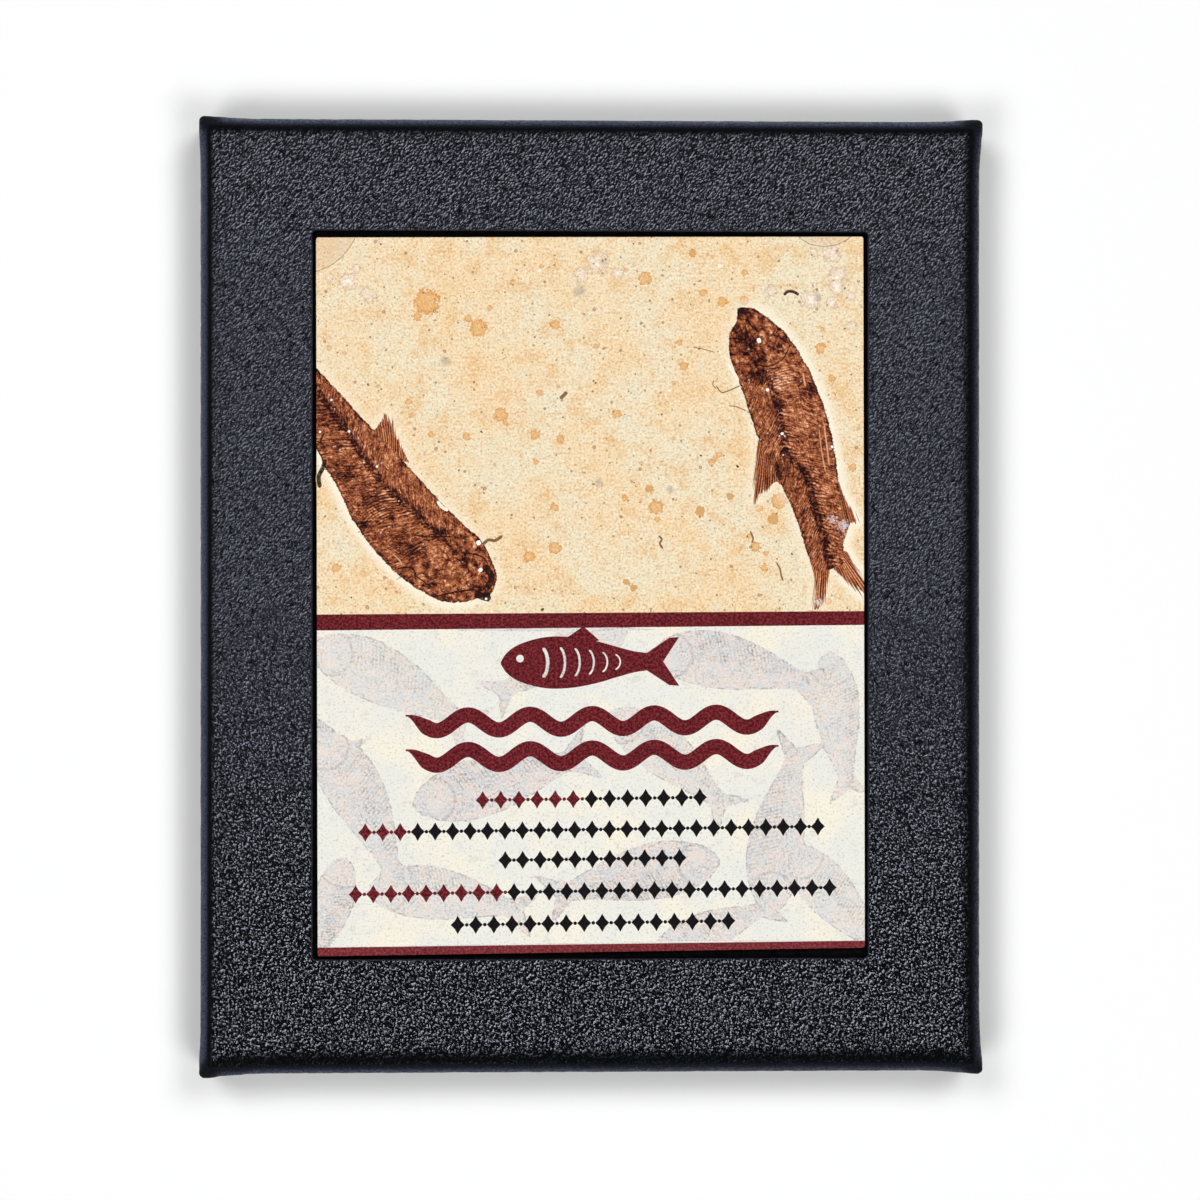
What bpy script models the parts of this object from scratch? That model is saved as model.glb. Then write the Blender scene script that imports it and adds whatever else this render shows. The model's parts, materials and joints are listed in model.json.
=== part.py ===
"""A display case covered in black leatherette, with a printed card in the window of its front.

It lies on its back: X runs across the case, +Y towards the top of the card, and Z from the back,
at z = 0, up to the front. The origin is the middle of the back face.
"""

import math

import bmesh
import bpy
from mathutils import Matrix, Vector

MM = 0.001

# Surround: the covered body of the case.
CASE_WIDTH = 127.8 * MM  # across the corners, where the folded covering is thickest
CASE_HEIGHT = 156.0 * MM
CASE_DEPTH = 18.0 * MM
SIDE_PULL = 0.40 * MM  # how far the sides lie inside the line from corner to corner
FOLD_REACH = 5.0 * MM  # how far a corner's fold spreads along each side
FIRST_STEP = 3.2 * MM  # outline points start this far from a corner,
STEP_GROWTH = 1.45  # and each is this many times further from it than the last
CORNER_RADIUS = 1.0 * MM
RIM_RADIUS = 2.2 * MM  # padded front edge
BACK_RADIUS = 0.8 * MM

# Window in the front, and the wider rebate behind it.
WINDOW_WIDTH = 90.2 * MM
WINDOW_HEIGHT = 118.2 * MM
WINDOW_RISE = 0.35 * MM  # the window sits a little above the middle
WINDOW_CORNER = 0.8 * MM
WINDOW_ROUND = 0.7 * MM  # the covering's turn over the window's edge
LIP_DEPTH = 2.2 * MM  # front board and its covering
REBATE_MARGIN = 3.2 * MM

# Card and backing.
CARD_WIDTH = 88.9 * MM
CARD_HEIGHT = 116.3 * MM
CARD_THICKNESS = 1.2 * MM
CARD_CORNER = 0.4 * MM
CARD_BEVEL = 0.15 * MM
CARD_TURN = math.radians(0.3)  # the card lies a little askew in its window
BACKING_RECESS = 0.4 * MM  # the backing stops short of the surface that the case lies on
BACKING_BEVEL = 0.3 * MM
GAP = 0.3 * MM

CORNER_STEPS = 4  # flat facets in each round corner or edge
CUT_CLEARANCE = 2.0 * MM  # how far a cutter reaches past the faces that it cuts through
COLLECTION = "leatherette_display_case"


def clear_scene():
    for old in list(bpy.data.objects):
        bpy.data.objects.remove(old, do_unlink=True)


def new_collection(name):
    collection = bpy.data.collections.new(name)
    bpy.context.scene.collection.children.link(collection)
    return collection


def new_material(name, colour, roughness, metallic=0.0):
    material = bpy.data.materials.new(name)
    material.use_nodes = True
    shader = material.node_tree.nodes["Principled BSDF"]
    shader.inputs["Base Color"].default_value = (*colour, 1.0)
    shader.inputs["Roughness"].default_value = roughness
    shader.inputs["Metallic"].default_value = metallic
    material.diffuse_color = (*colour, 1.0)
    return material


def rounded_rectangle(width, height, radius):
    """Points around a rectangle with round corners, counter-clockwise."""
    points = []
    for quarter, (across, up) in enumerate(((1, 1), (-1, 1), (-1, -1), (1, -1))):
        centre = Vector((across * (width / 2 - radius), up * (height / 2 - radius)))
        for step in range(CORNER_STEPS + 1):
            angle = math.radians(90 * (quarter + step / CORNER_STEPS))
            points.append(centre + radius * Vector((math.cos(angle), math.sin(angle))))
    return points


def side_distances(length):
    """Distances along a side from one corner, as far in from its ends as the folds reach."""
    distances = []
    distance = FIRST_STEP
    while distance < 3 * FOLD_REACH:
        distances.append(distance)
        distance *= STEP_GROWTH
    return [0.0, *distances, *(length - distance for distance in reversed(distances))]


def case_outline():
    """The case from the front, counter-clockwise: its sides fall back between the corners."""
    half = Vector((CASE_WIDTH / 2, CASE_HEIGHT / 2))
    corners = [Vector((x * half.x, y * half.y)) for x, y in ((1, 1), (-1, 1), (-1, -1), (1, -1))]
    points = []
    for corner, following in zip(corners, corners[1:] + corners[:1]):
        side = following - corner
        inward = Vector((-side.y, side.x)).normalized()
        for distance in side_distances(side.length):
            from_corner = min(distance, side.length - distance)
            pull = SIDE_PULL * (1 - math.exp(-((from_corner / FOLD_REACH) ** 2)))
            points.append(corner + side.normalized() * distance + inward * pull)
    return points


def extruded(name, points, low, high, collection):
    """A closed solid with the given outline, from z = low to z = high."""
    curve = bpy.data.curves.new(name, "CURVE")
    curve.dimensions = "2D"
    curve.fill_mode = "BOTH"
    curve.extrude = (high - low) / 2
    spline = curve.splines.new("POLY")
    spline.points.add(len(points) - 1)
    for target, point in zip(spline.points, points):
        target.co = (point.x, point.y, 0.0, 1.0)
    spline.use_cyclic_u = True
    outline = bpy.data.objects.new(name + "_outline", curve)
    outline.location.z = (low + high) / 2
    collection.objects.link(outline)

    graph = bpy.context.evaluated_depsgraph_get()
    mesh = bpy.data.meshes.new_from_object(outline.evaluated_get(graph))
    mesh.name = name
    weld(mesh)
    solid = bpy.data.objects.new(name, mesh)
    solid.matrix_world = outline.matrix_world.copy()
    bpy.data.objects.remove(outline, do_unlink=True)
    collection.objects.link(solid)
    return solid


def weld(mesh):
    """Joins the caps to the walls and makes each cap one flat face."""
    shape = bmesh.new()
    shape.from_mesh(mesh)
    bmesh.ops.remove_doubles(shape, verts=shape.verts, dist=0.01 * MM)
    bmesh.ops.dissolve_limit(
        shape, angle_limit=math.radians(0.5), verts=[], edges=flat_cap_edges(shape)
    )
    bmesh.ops.recalc_face_normals(shape, faces=shape.faces)
    shape.to_mesh(mesh)
    shape.free()


def flat_cap_edges(shape):
    """Edges whose two faces both point up or both point down."""
    return [
        edge
        for edge in shape.edges
        if len(edge.link_faces) == 2 and all(abs(face.normal.z) > 0.99 for face in edge.link_faces)
    ]


def add_weights(solid, edge_weight):
    """Gives each edge the bevel weight that edge_weight(edge) returns."""
    shape = bmesh.new()
    shape.from_mesh(solid.data)
    layer = shape.edges.layers.float.new("bevel_weight_edge")
    for edge in shape.edges:
        edge[layer] = edge_weight(edge)
    shape.to_mesh(solid.data)
    shape.free()


def add_bevel(solid, width, segments):
    bevel = solid.modifiers.new("Rounded edges", "BEVEL")
    bevel.limit_method = "WEIGHT"
    bevel.width = width
    bevel.segments = segments
    bevel.use_clamp_overlap = False


def add_cut(solid, cutter):
    cutter.hide_render = True
    cutter.display_type = "WIRE"
    cut = solid.modifiers.new("Cut by " + cutter.name, "BOOLEAN")
    cut.operation = "DIFFERENCE"
    cut.solver = "EXACT"
    cut.object = cutter


def finish_piece(piece, material):
    piece.data.materials.clear()
    piece.data.materials.append(material)
    piece.data.shade_smooth()
    piece.data.set_sharp_from_angle(angle=math.radians(40))


def make_surround(collection, cutters, material):
    """Covered body: a block with padded edges, cut through by the window and the rebate."""
    surround = extruded("leatherette_surround", case_outline(), 0.0, CASE_DEPTH, collection)

    def edge_weight(edge):
        heights = [vert.co.z for vert in edge.verts]
        if min(heights) > 0:
            return 1.0
        if max(heights) < 0:
            return BACK_RADIUS / RIM_RADIUS
        at_corner = abs(edge.verts[0].co.x) > CASE_WIDTH / 2 - GAP and (
            abs(edge.verts[0].co.y) > CASE_HEIGHT / 2 - GAP
        )
        return CORNER_RADIUS / RIM_RADIUS if at_corner else 0.0

    add_weights(surround, edge_weight)
    add_bevel(surround, RIM_RADIUS, CORNER_STEPS)
    add_cut(surround, make_window_cutter(cutters))
    add_cut(surround, make_rebate_cutter(cutters))
    finish_piece(surround, material)
    return surround


def make_window_cutter(cutters):
    """The window's hole, which flares at the front by the round of the covering."""
    outline = rounded_rectangle(WINDOW_WIDTH, WINDOW_HEIGHT, WINDOW_CORNER)
    steps = [(CASE_DEPTH - LIP_DEPTH - CUT_CLEARANCE, 0.0)]
    for step in range(CORNER_STEPS + 1):
        angle = math.radians(90 * step / CORNER_STEPS)
        rise = WINDOW_ROUND * math.sin(angle)
        steps.append((CASE_DEPTH - WINDOW_ROUND + rise, WINDOW_ROUND * (1 - math.cos(angle))))
    steps.append((CASE_DEPTH + CUT_CLEARANCE, WINDOW_ROUND))
    cutter = lofted("window_cutter", outline, steps, cutters)
    cutter.location.y = WINDOW_RISE
    return cutter


def lofted(name, outline, steps, collection):
    """A closed solid through copies of an outline, each at (height, how far it is grown)."""
    shape = bmesh.new()
    rings = []
    for height, growth in steps:
        ring = []
        for point in outline:
            outward = Vector((math.copysign(growth, point.x), math.copysign(growth, point.y)))
            ring.append(shape.verts.new((*(point + outward), height)))
        rings.append(ring)
    for lower, upper in zip(rings, rings[1:]):
        for index in range(len(outline)):
            following = (index + 1) % len(outline)
            shape.faces.new((lower[index], lower[following], upper[following], upper[index]))
    shape.faces.new(reversed(rings[0]))
    shape.faces.new(rings[-1])
    bmesh.ops.recalc_face_normals(shape, faces=shape.faces)
    mesh = bpy.data.meshes.new(name)
    shape.to_mesh(mesh)
    shape.free()
    solid = bpy.data.objects.new(name, mesh)
    collection.objects.link(solid)
    return solid


def box(name, width, height, low, high, collection):
    shape = bmesh.new()
    size = Matrix.Diagonal((width, height, high - low, 1.0))
    place = Matrix.Translation((0.0, WINDOW_RISE, (low + high) / 2))
    bmesh.ops.create_cube(shape, size=1.0, matrix=place @ size)
    mesh = bpy.data.meshes.new(name)
    shape.to_mesh(mesh)
    shape.free()
    solid = bpy.data.objects.new(name, mesh)
    collection.objects.link(solid)
    return solid


def make_rebate_cutter(cutters):
    return box(
        "rebate_cutter",
        WINDOW_WIDTH + 2 * REBATE_MARGIN,
        WINDOW_HEIGHT + 2 * REBATE_MARGIN,
        -CUT_CLEARANCE,
        CASE_DEPTH - LIP_DEPTH,
        cutters,
    )


def make_backing(collection, material):
    """Block in the rebate, held a gap below the lip and clear of the surround's walls."""
    margin = REBATE_MARGIN - GAP
    backing = box(
        "backing_board",
        WINDOW_WIDTH + 2 * margin,
        WINDOW_HEIGHT + 2 * margin,
        BACKING_RECESS,
        CASE_DEPTH - LIP_DEPTH - GAP,
        collection,
    )
    add_weights(backing, lambda edge: 1.0)
    add_bevel(backing, BACKING_BEVEL, 2)
    finish_piece(backing, material)
    return backing


def make_card(collection, material):
    """Card on the backing, inside the window, turned a little."""
    low = CASE_DEPTH - LIP_DEPTH
    outline = rounded_rectangle(CARD_WIDTH, CARD_HEIGHT, CARD_CORNER)
    card = extruded("printed_card", outline, low, low + CARD_THICKNESS, collection)
    card.rotation_euler.z = CARD_TURN
    card.location.y = WINDOW_RISE
    half = CARD_THICKNESS / 2
    add_weights(card, lambda edge: float(min(vert.co.z for vert in edge.verts) > half * 0.9))
    add_bevel(card, CARD_BEVEL, 2)
    finish_piece(card, material)
    return card


def build():
    clear_scene()
    pieces = new_collection(COLLECTION)
    cutters = new_collection("cutters")
    leatherette = new_material("black_leatherette", (0.042, 0.045, 0.058), 0.5)
    print_stock = new_material("printed_card_stock", (0.80, 0.69, 0.50), 0.55)
    board = new_material("backing_board", (0.05, 0.05, 0.055), 0.85)
    make_surround(pieces, cutters, leatherette)
    make_backing(pieces, board)
    make_card(pieces, print_stock)


build()
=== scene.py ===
import json
import math

import bpy
import numpy as np
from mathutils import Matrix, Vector
from mathutils.geometry import delaunay_2d_cdt

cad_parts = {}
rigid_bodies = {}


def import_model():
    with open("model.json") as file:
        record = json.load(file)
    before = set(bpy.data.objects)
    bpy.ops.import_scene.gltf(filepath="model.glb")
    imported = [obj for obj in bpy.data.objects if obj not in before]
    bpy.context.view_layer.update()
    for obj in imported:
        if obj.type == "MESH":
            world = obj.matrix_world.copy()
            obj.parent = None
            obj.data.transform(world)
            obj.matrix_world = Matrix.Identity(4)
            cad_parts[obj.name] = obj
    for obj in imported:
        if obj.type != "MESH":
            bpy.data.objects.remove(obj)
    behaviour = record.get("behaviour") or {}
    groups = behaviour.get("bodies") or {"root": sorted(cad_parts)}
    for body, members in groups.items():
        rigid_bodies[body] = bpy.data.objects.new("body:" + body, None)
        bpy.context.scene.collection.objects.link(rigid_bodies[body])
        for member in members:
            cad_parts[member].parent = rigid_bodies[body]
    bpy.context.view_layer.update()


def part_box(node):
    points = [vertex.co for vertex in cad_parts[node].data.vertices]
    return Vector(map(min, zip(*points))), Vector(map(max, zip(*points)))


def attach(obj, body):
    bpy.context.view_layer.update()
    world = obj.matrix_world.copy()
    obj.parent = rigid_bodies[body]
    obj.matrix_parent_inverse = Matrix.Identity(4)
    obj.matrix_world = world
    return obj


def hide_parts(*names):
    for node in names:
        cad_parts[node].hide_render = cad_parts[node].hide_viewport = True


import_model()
mm = 0.001

caseLow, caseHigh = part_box("leatherette_surround")
cardLow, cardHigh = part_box("printed_card")
backingLow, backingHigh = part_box("backing_board")


# small helpers for shader and geometry trees
def ink(red, green, blue):
    shares = [value / 255 for value in (red, green, blue)]
    return (*(s / 12.92 if s <= 0.04045 else ((s + 0.055) / 1.055) ** 2.4 for s in shares), 1.0)


class Value:  # what a node gives out, so that shading is written as sums
    def __init__(self, socket):
        self.socket = socket
        self.tree = socket.id_data

    def __add__(self, other):
        return calc("ADD", self, other)

    def __sub__(self, other):
        return calc("SUBTRACT", self, other)

    def __rsub__(self, other):
        return calc("SUBTRACT", other, self)

    def __mul__(self, other):
        return calc("MULTIPLY", self, other)

    def __truediv__(self, other):
        return calc("DIVIDE", self, other)

    def __rtruediv__(self, other):
        return calc("DIVIDE", other, self)

    def __abs__(self):
        return calc("ABSOLUTE", self)

    __radd__ = __add__
    __rmul__ = __mul__


def addNode(tree, kind, inputs=None, **settings):
    node = tree.nodes.new(kind)
    for name, value in settings.items():
        setattr(node, name, value)
    for key, value in (inputs or {}).items():
        if isinstance(value, Value):
            tree.links.new(value.socket, node.inputs[key])
        else:
            node.inputs[key].default_value = value
    return node


def made(kind, inputs, output=0, **settings):  # what a new node gives out, in the tree of its inputs
    tree = next(value.tree for value in inputs.values() if isinstance(value, Value))
    return Value(addNode(tree, kind, inputs, **settings).outputs[output])


def wire(value, socket):
    value.tree.links.new(value.socket, socket)


def calc(operation, first, second=0.0, third=0.0):
    return made("ShaderNodeMath", {0: first, 1: second, 2: third}, operation=operation)


def vectors(operation, first, second, output=0):
    return made("ShaderNodeVectorMath", {0: first, 1: second}, output, operation=operation)


def scaled(vector, size):
    return made("ShaderNodeVectorMath", {0: vector, 3: size}, operation="SCALE")


def fade(value, low, high):  # 0 at low, 1 at high, smooth between
    ends = {"Value": value, "From Min": low, "From Max": high}
    return made("ShaderNodeMapRange", ends, "Result", interpolation_type="SMOOTHSTEP")


def mixColour(share, *tints):  # from one tint to another: a value, or red, green and blue up to 255
    first, second = (ink(*tint) if isinstance(tint, tuple) and len(tint) == 3 else tint for tint in tints)
    return made("ShaderNodeMix", {0: share, 6: first, 7: second}, 2, data_type="RGBA")


def mixValue(share, first, second):
    return made("ShaderNodeMix", {0: share, 2: first, 3: second})


def fieldOf(place, name, output="Fac"):  # what the mesh stores under a name
    return Value(addNode(place.tree, "ShaderNodeAttribute", attribute_name=name).outputs[output])


def shares(vector):  # its three parts
    node = addNode(vector.tree, "ShaderNodeSeparateXYZ", {0: vector})
    return [Value(output) for output in node.outputs]


def placeOf(x, y, z=0.0):
    return made("ShaderNodeCombineXYZ", {0: x, 1: y, 2: z})


def noiseAt(place, size, detail=3.0, roughness=0.5, distortion=0.0, output="Fac"):  # size in mm
    facts = {"Scale": 1.0 / size, "Detail": detail, "Roughness": roughness, "Distortion": distortion}
    return made("ShaderNodeTexNoise", {"Vector": place, **facts}, output)


def swing(noise, reach):  # noise turned to -reach/2 ... reach/2
    return (noise - 0.5) * reach


def newMaterial(name):  # with its shader, and the place on the object in mm
    material = bpy.data.materials.new(name)
    material.use_nodes = True
    tree = material.node_tree
    place = Value(addNode(tree, "ShaderNodeTexCoord").outputs["Object"])
    return material, tree.nodes["Principled BSDF"], scaled(place, 1 / mm)


def finish(shader, colour, place, depth, rough, shine):  # depth: the paper grain's, mm
    wire(colour, shader.inputs["Base Color"])
    grain = noiseAt(place, 0.35, 3.0, 0.65)
    wire(made("ShaderNodeBump", {"Height": grain, "Distance": depth * mm}), shader.inputs["Normal"])
    shader.inputs["Roughness"].default_value = rough
    shader.inputs["Specular IOR Level"].default_value = shine


def warped(place, size, reach, detail=2.0):  # pushes a pattern about, so that it isn't regular
    push = noiseAt(place, size, detail, output="Color")
    return vectors("ADD", place, scaled(vectors("SUBTRACT", push, (0.5, 0.5, 0.5)), reach))


def meshObject(name, points, faces):
    mesh = bpy.data.meshes.new(name)
    mesh.from_pydata([tuple(point) for point in points], [], faces)
    mesh.update()
    piece = bpy.data.objects.new(name, mesh)
    bpy.context.scene.collection.objects.link(piece)
    return piece


# camera, floor and light
view = {
    "mmPerPixel": 0.1624,  # at the front of the case
    "pixels": 1200,
    "caseCentre": (592.8, 596.7),
    "distance": 750.0,
    "turn": 2.7,  # degrees that the camera stands to the left of straight above
    "sensor": 36.0,
    "clip": (0.05, 50.0),
}


def makeCamera():
    camera = bpy.data.objects.new("camera", bpy.data.cameras.new("camera"))
    bpy.context.scene.collection.objects.link(camera)
    middle = view["pixels"] / 2
    aimX = (middle - view["caseCentre"][0]) * view["mmPerPixel"]
    aimY = -(middle - view["caseCentre"][1]) * view["mmPerPixel"]
    turn = math.radians(view["turn"])
    away = view["distance"] * mm
    camera.location = (aimX * mm - away * math.sin(turn), aimY * mm, caseHigh.z + away * math.cos(turn))
    camera.rotation_euler = (0.0, -turn, 0.0)
    camera.data.sensor_width = view["sensor"]
    camera.data.lens = view["sensor"] * view["distance"] / (view["pixels"] * view["mmPerPixel"])
    camera.data.clip_start, camera.data.clip_end = view["clip"]
    bpy.context.scene.camera = camera


studio = {
    "floorSize": 30.0,
    "floorColour": (0.97, 0.97, 0.97, 1.0),
    "soft": {  # one over each corner
        "height": 3.4, "aside": 1.03, "shift": -0.14, "size": (1.04, 1.04), "power": 39.0,
    },
    "sheen": {"place": (-0.1, 1.05, 2.6), "size": (1.9, 1.7), "power": 1.0},
    "spark": {"place": (-0.12, 0.85, 2.6), "size": (0.42, 0.36), "power": 16.0},
    "horizon": {  # from, to: cosines of the angle from straight up
        "colour": (0.72, 0.84, 1.0, 1.0), "strength": 0.5, "from": 0.62, "to": 0.35,
    },
}


def makeFloor():
    half = studio["floorSize"] / 2
    corners = [(x * half, y * half, 0.0) for x, y in ((-1, -1), (1, -1), (1, 1), (-1, 1))]
    floor = meshObject("floor", corners, [(0, 1, 2, 3)])
    material, shader, place = newMaterial("paleFloor")
    white = studio["floorColour"]
    near = tuple(channel * 0.99 for channel in white[:3]) + (1.0,)
    wire(mixColour(noiseAt(place, 400.0), near, white), shader.inputs["Base Color"])
    shader.inputs["Roughness"].default_value = 0.9
    shader.inputs["Specular IOR Level"].default_value = 0.0
    floor.data.materials.append(material)


def makeLight(name, place, facts, gloss):
    light = bpy.data.objects.new(name, bpy.data.lights.new(name, "AREA"))
    light.data.shape = "RECTANGLE"
    light.data.size, light.data.size_y = facts["size"]
    light.data.energy = facts["power"]
    light.location = place
    light.rotation_euler = (-Vector(place)).to_track_quat("-Z", "Y").to_euler()
    light.visible_diffuse = not gloss
    light.visible_glossy = gloss
    bpy.context.scene.collection.objects.link(light)


def makeStudio():
    makeFloor()
    soft = studio["soft"]
    for signX in (-1, 1):
        for signY in (-1, 1):
            place = (signX * soft["aside"] + soft["shift"], signY * soft["aside"], soft["height"])
            makeLight("softBox", place, soft, False)
    for name in ("sheen", "spark"):
        makeLight(name, studio[name]["place"], studio[name], True)
    world = bpy.data.worlds.new("studio")
    bpy.context.scene.world = world
    world.use_nodes = True
    tree = world.node_tree
    background = tree.nodes["Background"]
    horizon = studio["horizon"]
    facing = Value(addNode(tree, "ShaderNodeTexCoord").outputs["Generated"])
    low = fade(shares(facing)[2], horizon["from"], horizon["to"])
    background.inputs["Color"].default_value = horizon["colour"]
    wire(low * horizon["strength"], background.inputs["Strength"])
    world.cycles_visibility.diffuse = False
    bpy.context.scene.view_settings.view_transform = "Standard"
    bpy.context.scene.view_settings.look = "None"


makeCamera()
makeStudio()
print("camera, floor and light ready")


# the leatherette wrap: board frame and covering as one skin
wrap = {
    "rimRadius": 2.2, "backRadius": 0.8, "cornerRadius": 0.9,
    "lipDepth": 2.2, "backingLap": 2.9, "rebateMargin": 3.2,
    "windowCorner": 0.6, "windowRound": 0.3, "windowShift": (-0.3, -0.075), "windowTrim": (0.0, 0.075),
    "foldReach": 5.0, "foldWidth": 3.0, "foldEdge": 0.18,
    "tail": (0.4, 1.5),  # how dark the painted shade on the face stays inside a groove, and over what reach that fades
    # tuckShade: how dark the painted shade near the corners is, and over what inset it fades; the sheen
    # start and edge: how far from the corners the painted sheen band builds up, and how soft its edge is
    "tuckShade": (0.85, 2.4), "paintedSheenStart": 2.0, "paintedSheenEdge": 0.12,
    "cornerSteps": 8, "acrossSteps": 118, "upSteps": 146,
    "faceRows": 40, "nearRims": (0.915, 0.928, 0.941, 0.954, 0.967, 0.98, 0.991),
    # turnedShadeRows: the rows down the window's wall that take the painted shade material
    "rimRows": 15, "wallRows": 11, "turnedShadeRows": 5,
    "grainSize": 0.36, "grainLength": 1.5, "grainDepth": 0.13, "grainLight": 0.15,
    "grainTurns": [(48.0, 3.0), (-54.0, 47.0)],  # degrees and seed, above and below the middle
    "relief": {"Swell Height": 0.05, "Swell Size": 9.0, "Crease Depth": 0.06, "Crease Size": 4.5},
    "reliefSeed": 41.0, "reliefAbove": 1.5,  # mm over the table where it starts
    "sides": [  # pull: how far it draws in; grooveAndShade: middle, width out and in, depth of a groove that is sunk and painted with shade; pale: strength of a painted sheen band at its edge
        {"facing": (0, 1), "pull": 0.40, "grooveAndShade": (2.00, 0.95, 0.90, 0.16), "pale": 0.80},
        {"facing": (-1, 0), "pull": 0.25, "grooveAndShade": (1.66, 0.46, 0.72, 0.14), "pale": 0.50},
        {"facing": (0, -1), "pull": 0.56, "grooveAndShade": (2.70, 1.80, 1.60, 0.22), "pale": 0.55},
        {"facing": (1, 0), "pull": 0.53, "grooveAndShade": (2.05, 0.95, 1.35, 0.15), "pale": 0.0},
    ],
    "folds": [  # corner (x, y signs), how far the doubled covering reaches along the side, its thickness
        {"corner": (-1, 1), "reach": 2.0, "lift": 0.06, "aside": 0.0},
        {"corner": (-1, -1), "reach": 2.6, "lift": 0.16, "aside": 0.0},
        {"corner": (1, -1), "reach": 1.8, "lift": 0.10, "aside": 0.06},
        {"corner": (1, 1), "reach": 1.6, "lift": 0.04, "aside": 0.06},
    ],
    "tuckShadeReach": (2.3, 1.0, 2.4, 1.0),  # how far from the corners each side stays dark with painted shade
    "lump": {"place": (-57.0, -76.6), "reach": (1.3, 1.2), "lift": 0.30},
}


def cornerLoop(halfX, halfY, radius):  # rounded rectangle, with each point's distance from its corner
    points, fromCorner, facing = [], [], []
    signs = [(1, 1), (-1, 1), (-1, -1), (1, -1)]
    steps = wrap["cornerSteps"]
    for index, (signX, signY) in enumerate(signs):
        centre = np.array([signX * (halfX - radius), signY * (halfY - radius)])
        for step in range(steps + 1):
            angle = math.pi / 2 * (index + step / steps)
            outward = np.array([math.cos(angle), math.sin(angle)])
            points.append(centre + radius * outward)
            fromCorner.append(0.0)
            facing.append(outward)
        nextX, nextY = signs[(index + 1) % 4]
        start = points[-1]
        end = np.array([nextX * (halfX - radius), nextY * (halfY - radius)]) + radius * facing[-1]
        count = wrap["acrossSteps"] if index % 2 == 0 else wrap["upSteps"]
        length = np.linalg.norm(end - start)
        for step in range(1, count):
            share = (1 - math.cos(math.pi * step / count)) / 2
            share = 0.25 * share + 0.75 * step / count
            points.append(start + (end - start) * share)
            fromCorner.append(min(share, 1 - share) * length)
            facing.append(facing[-1])
    return np.array(points), np.array(fromCorner), np.array(facing)


def blended(facing, values):  # one value per side, mixed round the corners
    towards = [facing @ np.array(side["facing"], dtype=float) for side in wrap["sides"]]
    return sum(np.maximum(share, 0.0) ** 2 * value for share, value in zip(towards, values))


def pushedLoop(points, fromCorner, facing, half, amount):  # sides pulled in, corners thick with folds
    pull = blended(facing, [side["pull"] for side in wrap["sides"]])
    pull = pull * (1 - np.exp(-((fromCorner / wrap["foldReach"]) ** 2)))
    moved = points - facing * (pull * amount)[:, None]
    for fold in wrap["folds"]:
        corner = np.array(fold["corner"]) * half
        gone = np.abs(points - corner)
        near = np.exp(-((gone[:, 1] / wrap["foldWidth"]) ** 2))
        near = near / (1 + np.exp((gone[:, 0] - fold["reach"]) / wrap["foldEdge"]))
        moved[:, 1] += np.sign(corner[1]) * fold["lift"] * amount * near
        moved[:, 0] += np.sign(corner[0]) * fold["aside"] * amount * near
    lump = wrap["lump"]
    gone = (points - np.array(lump["place"])) / np.array(lump["reach"])
    moved[:, 1] -= lump["lift"] * np.exp(-(gone ** 2).sum(axis=1)) * amount
    return moved


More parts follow.
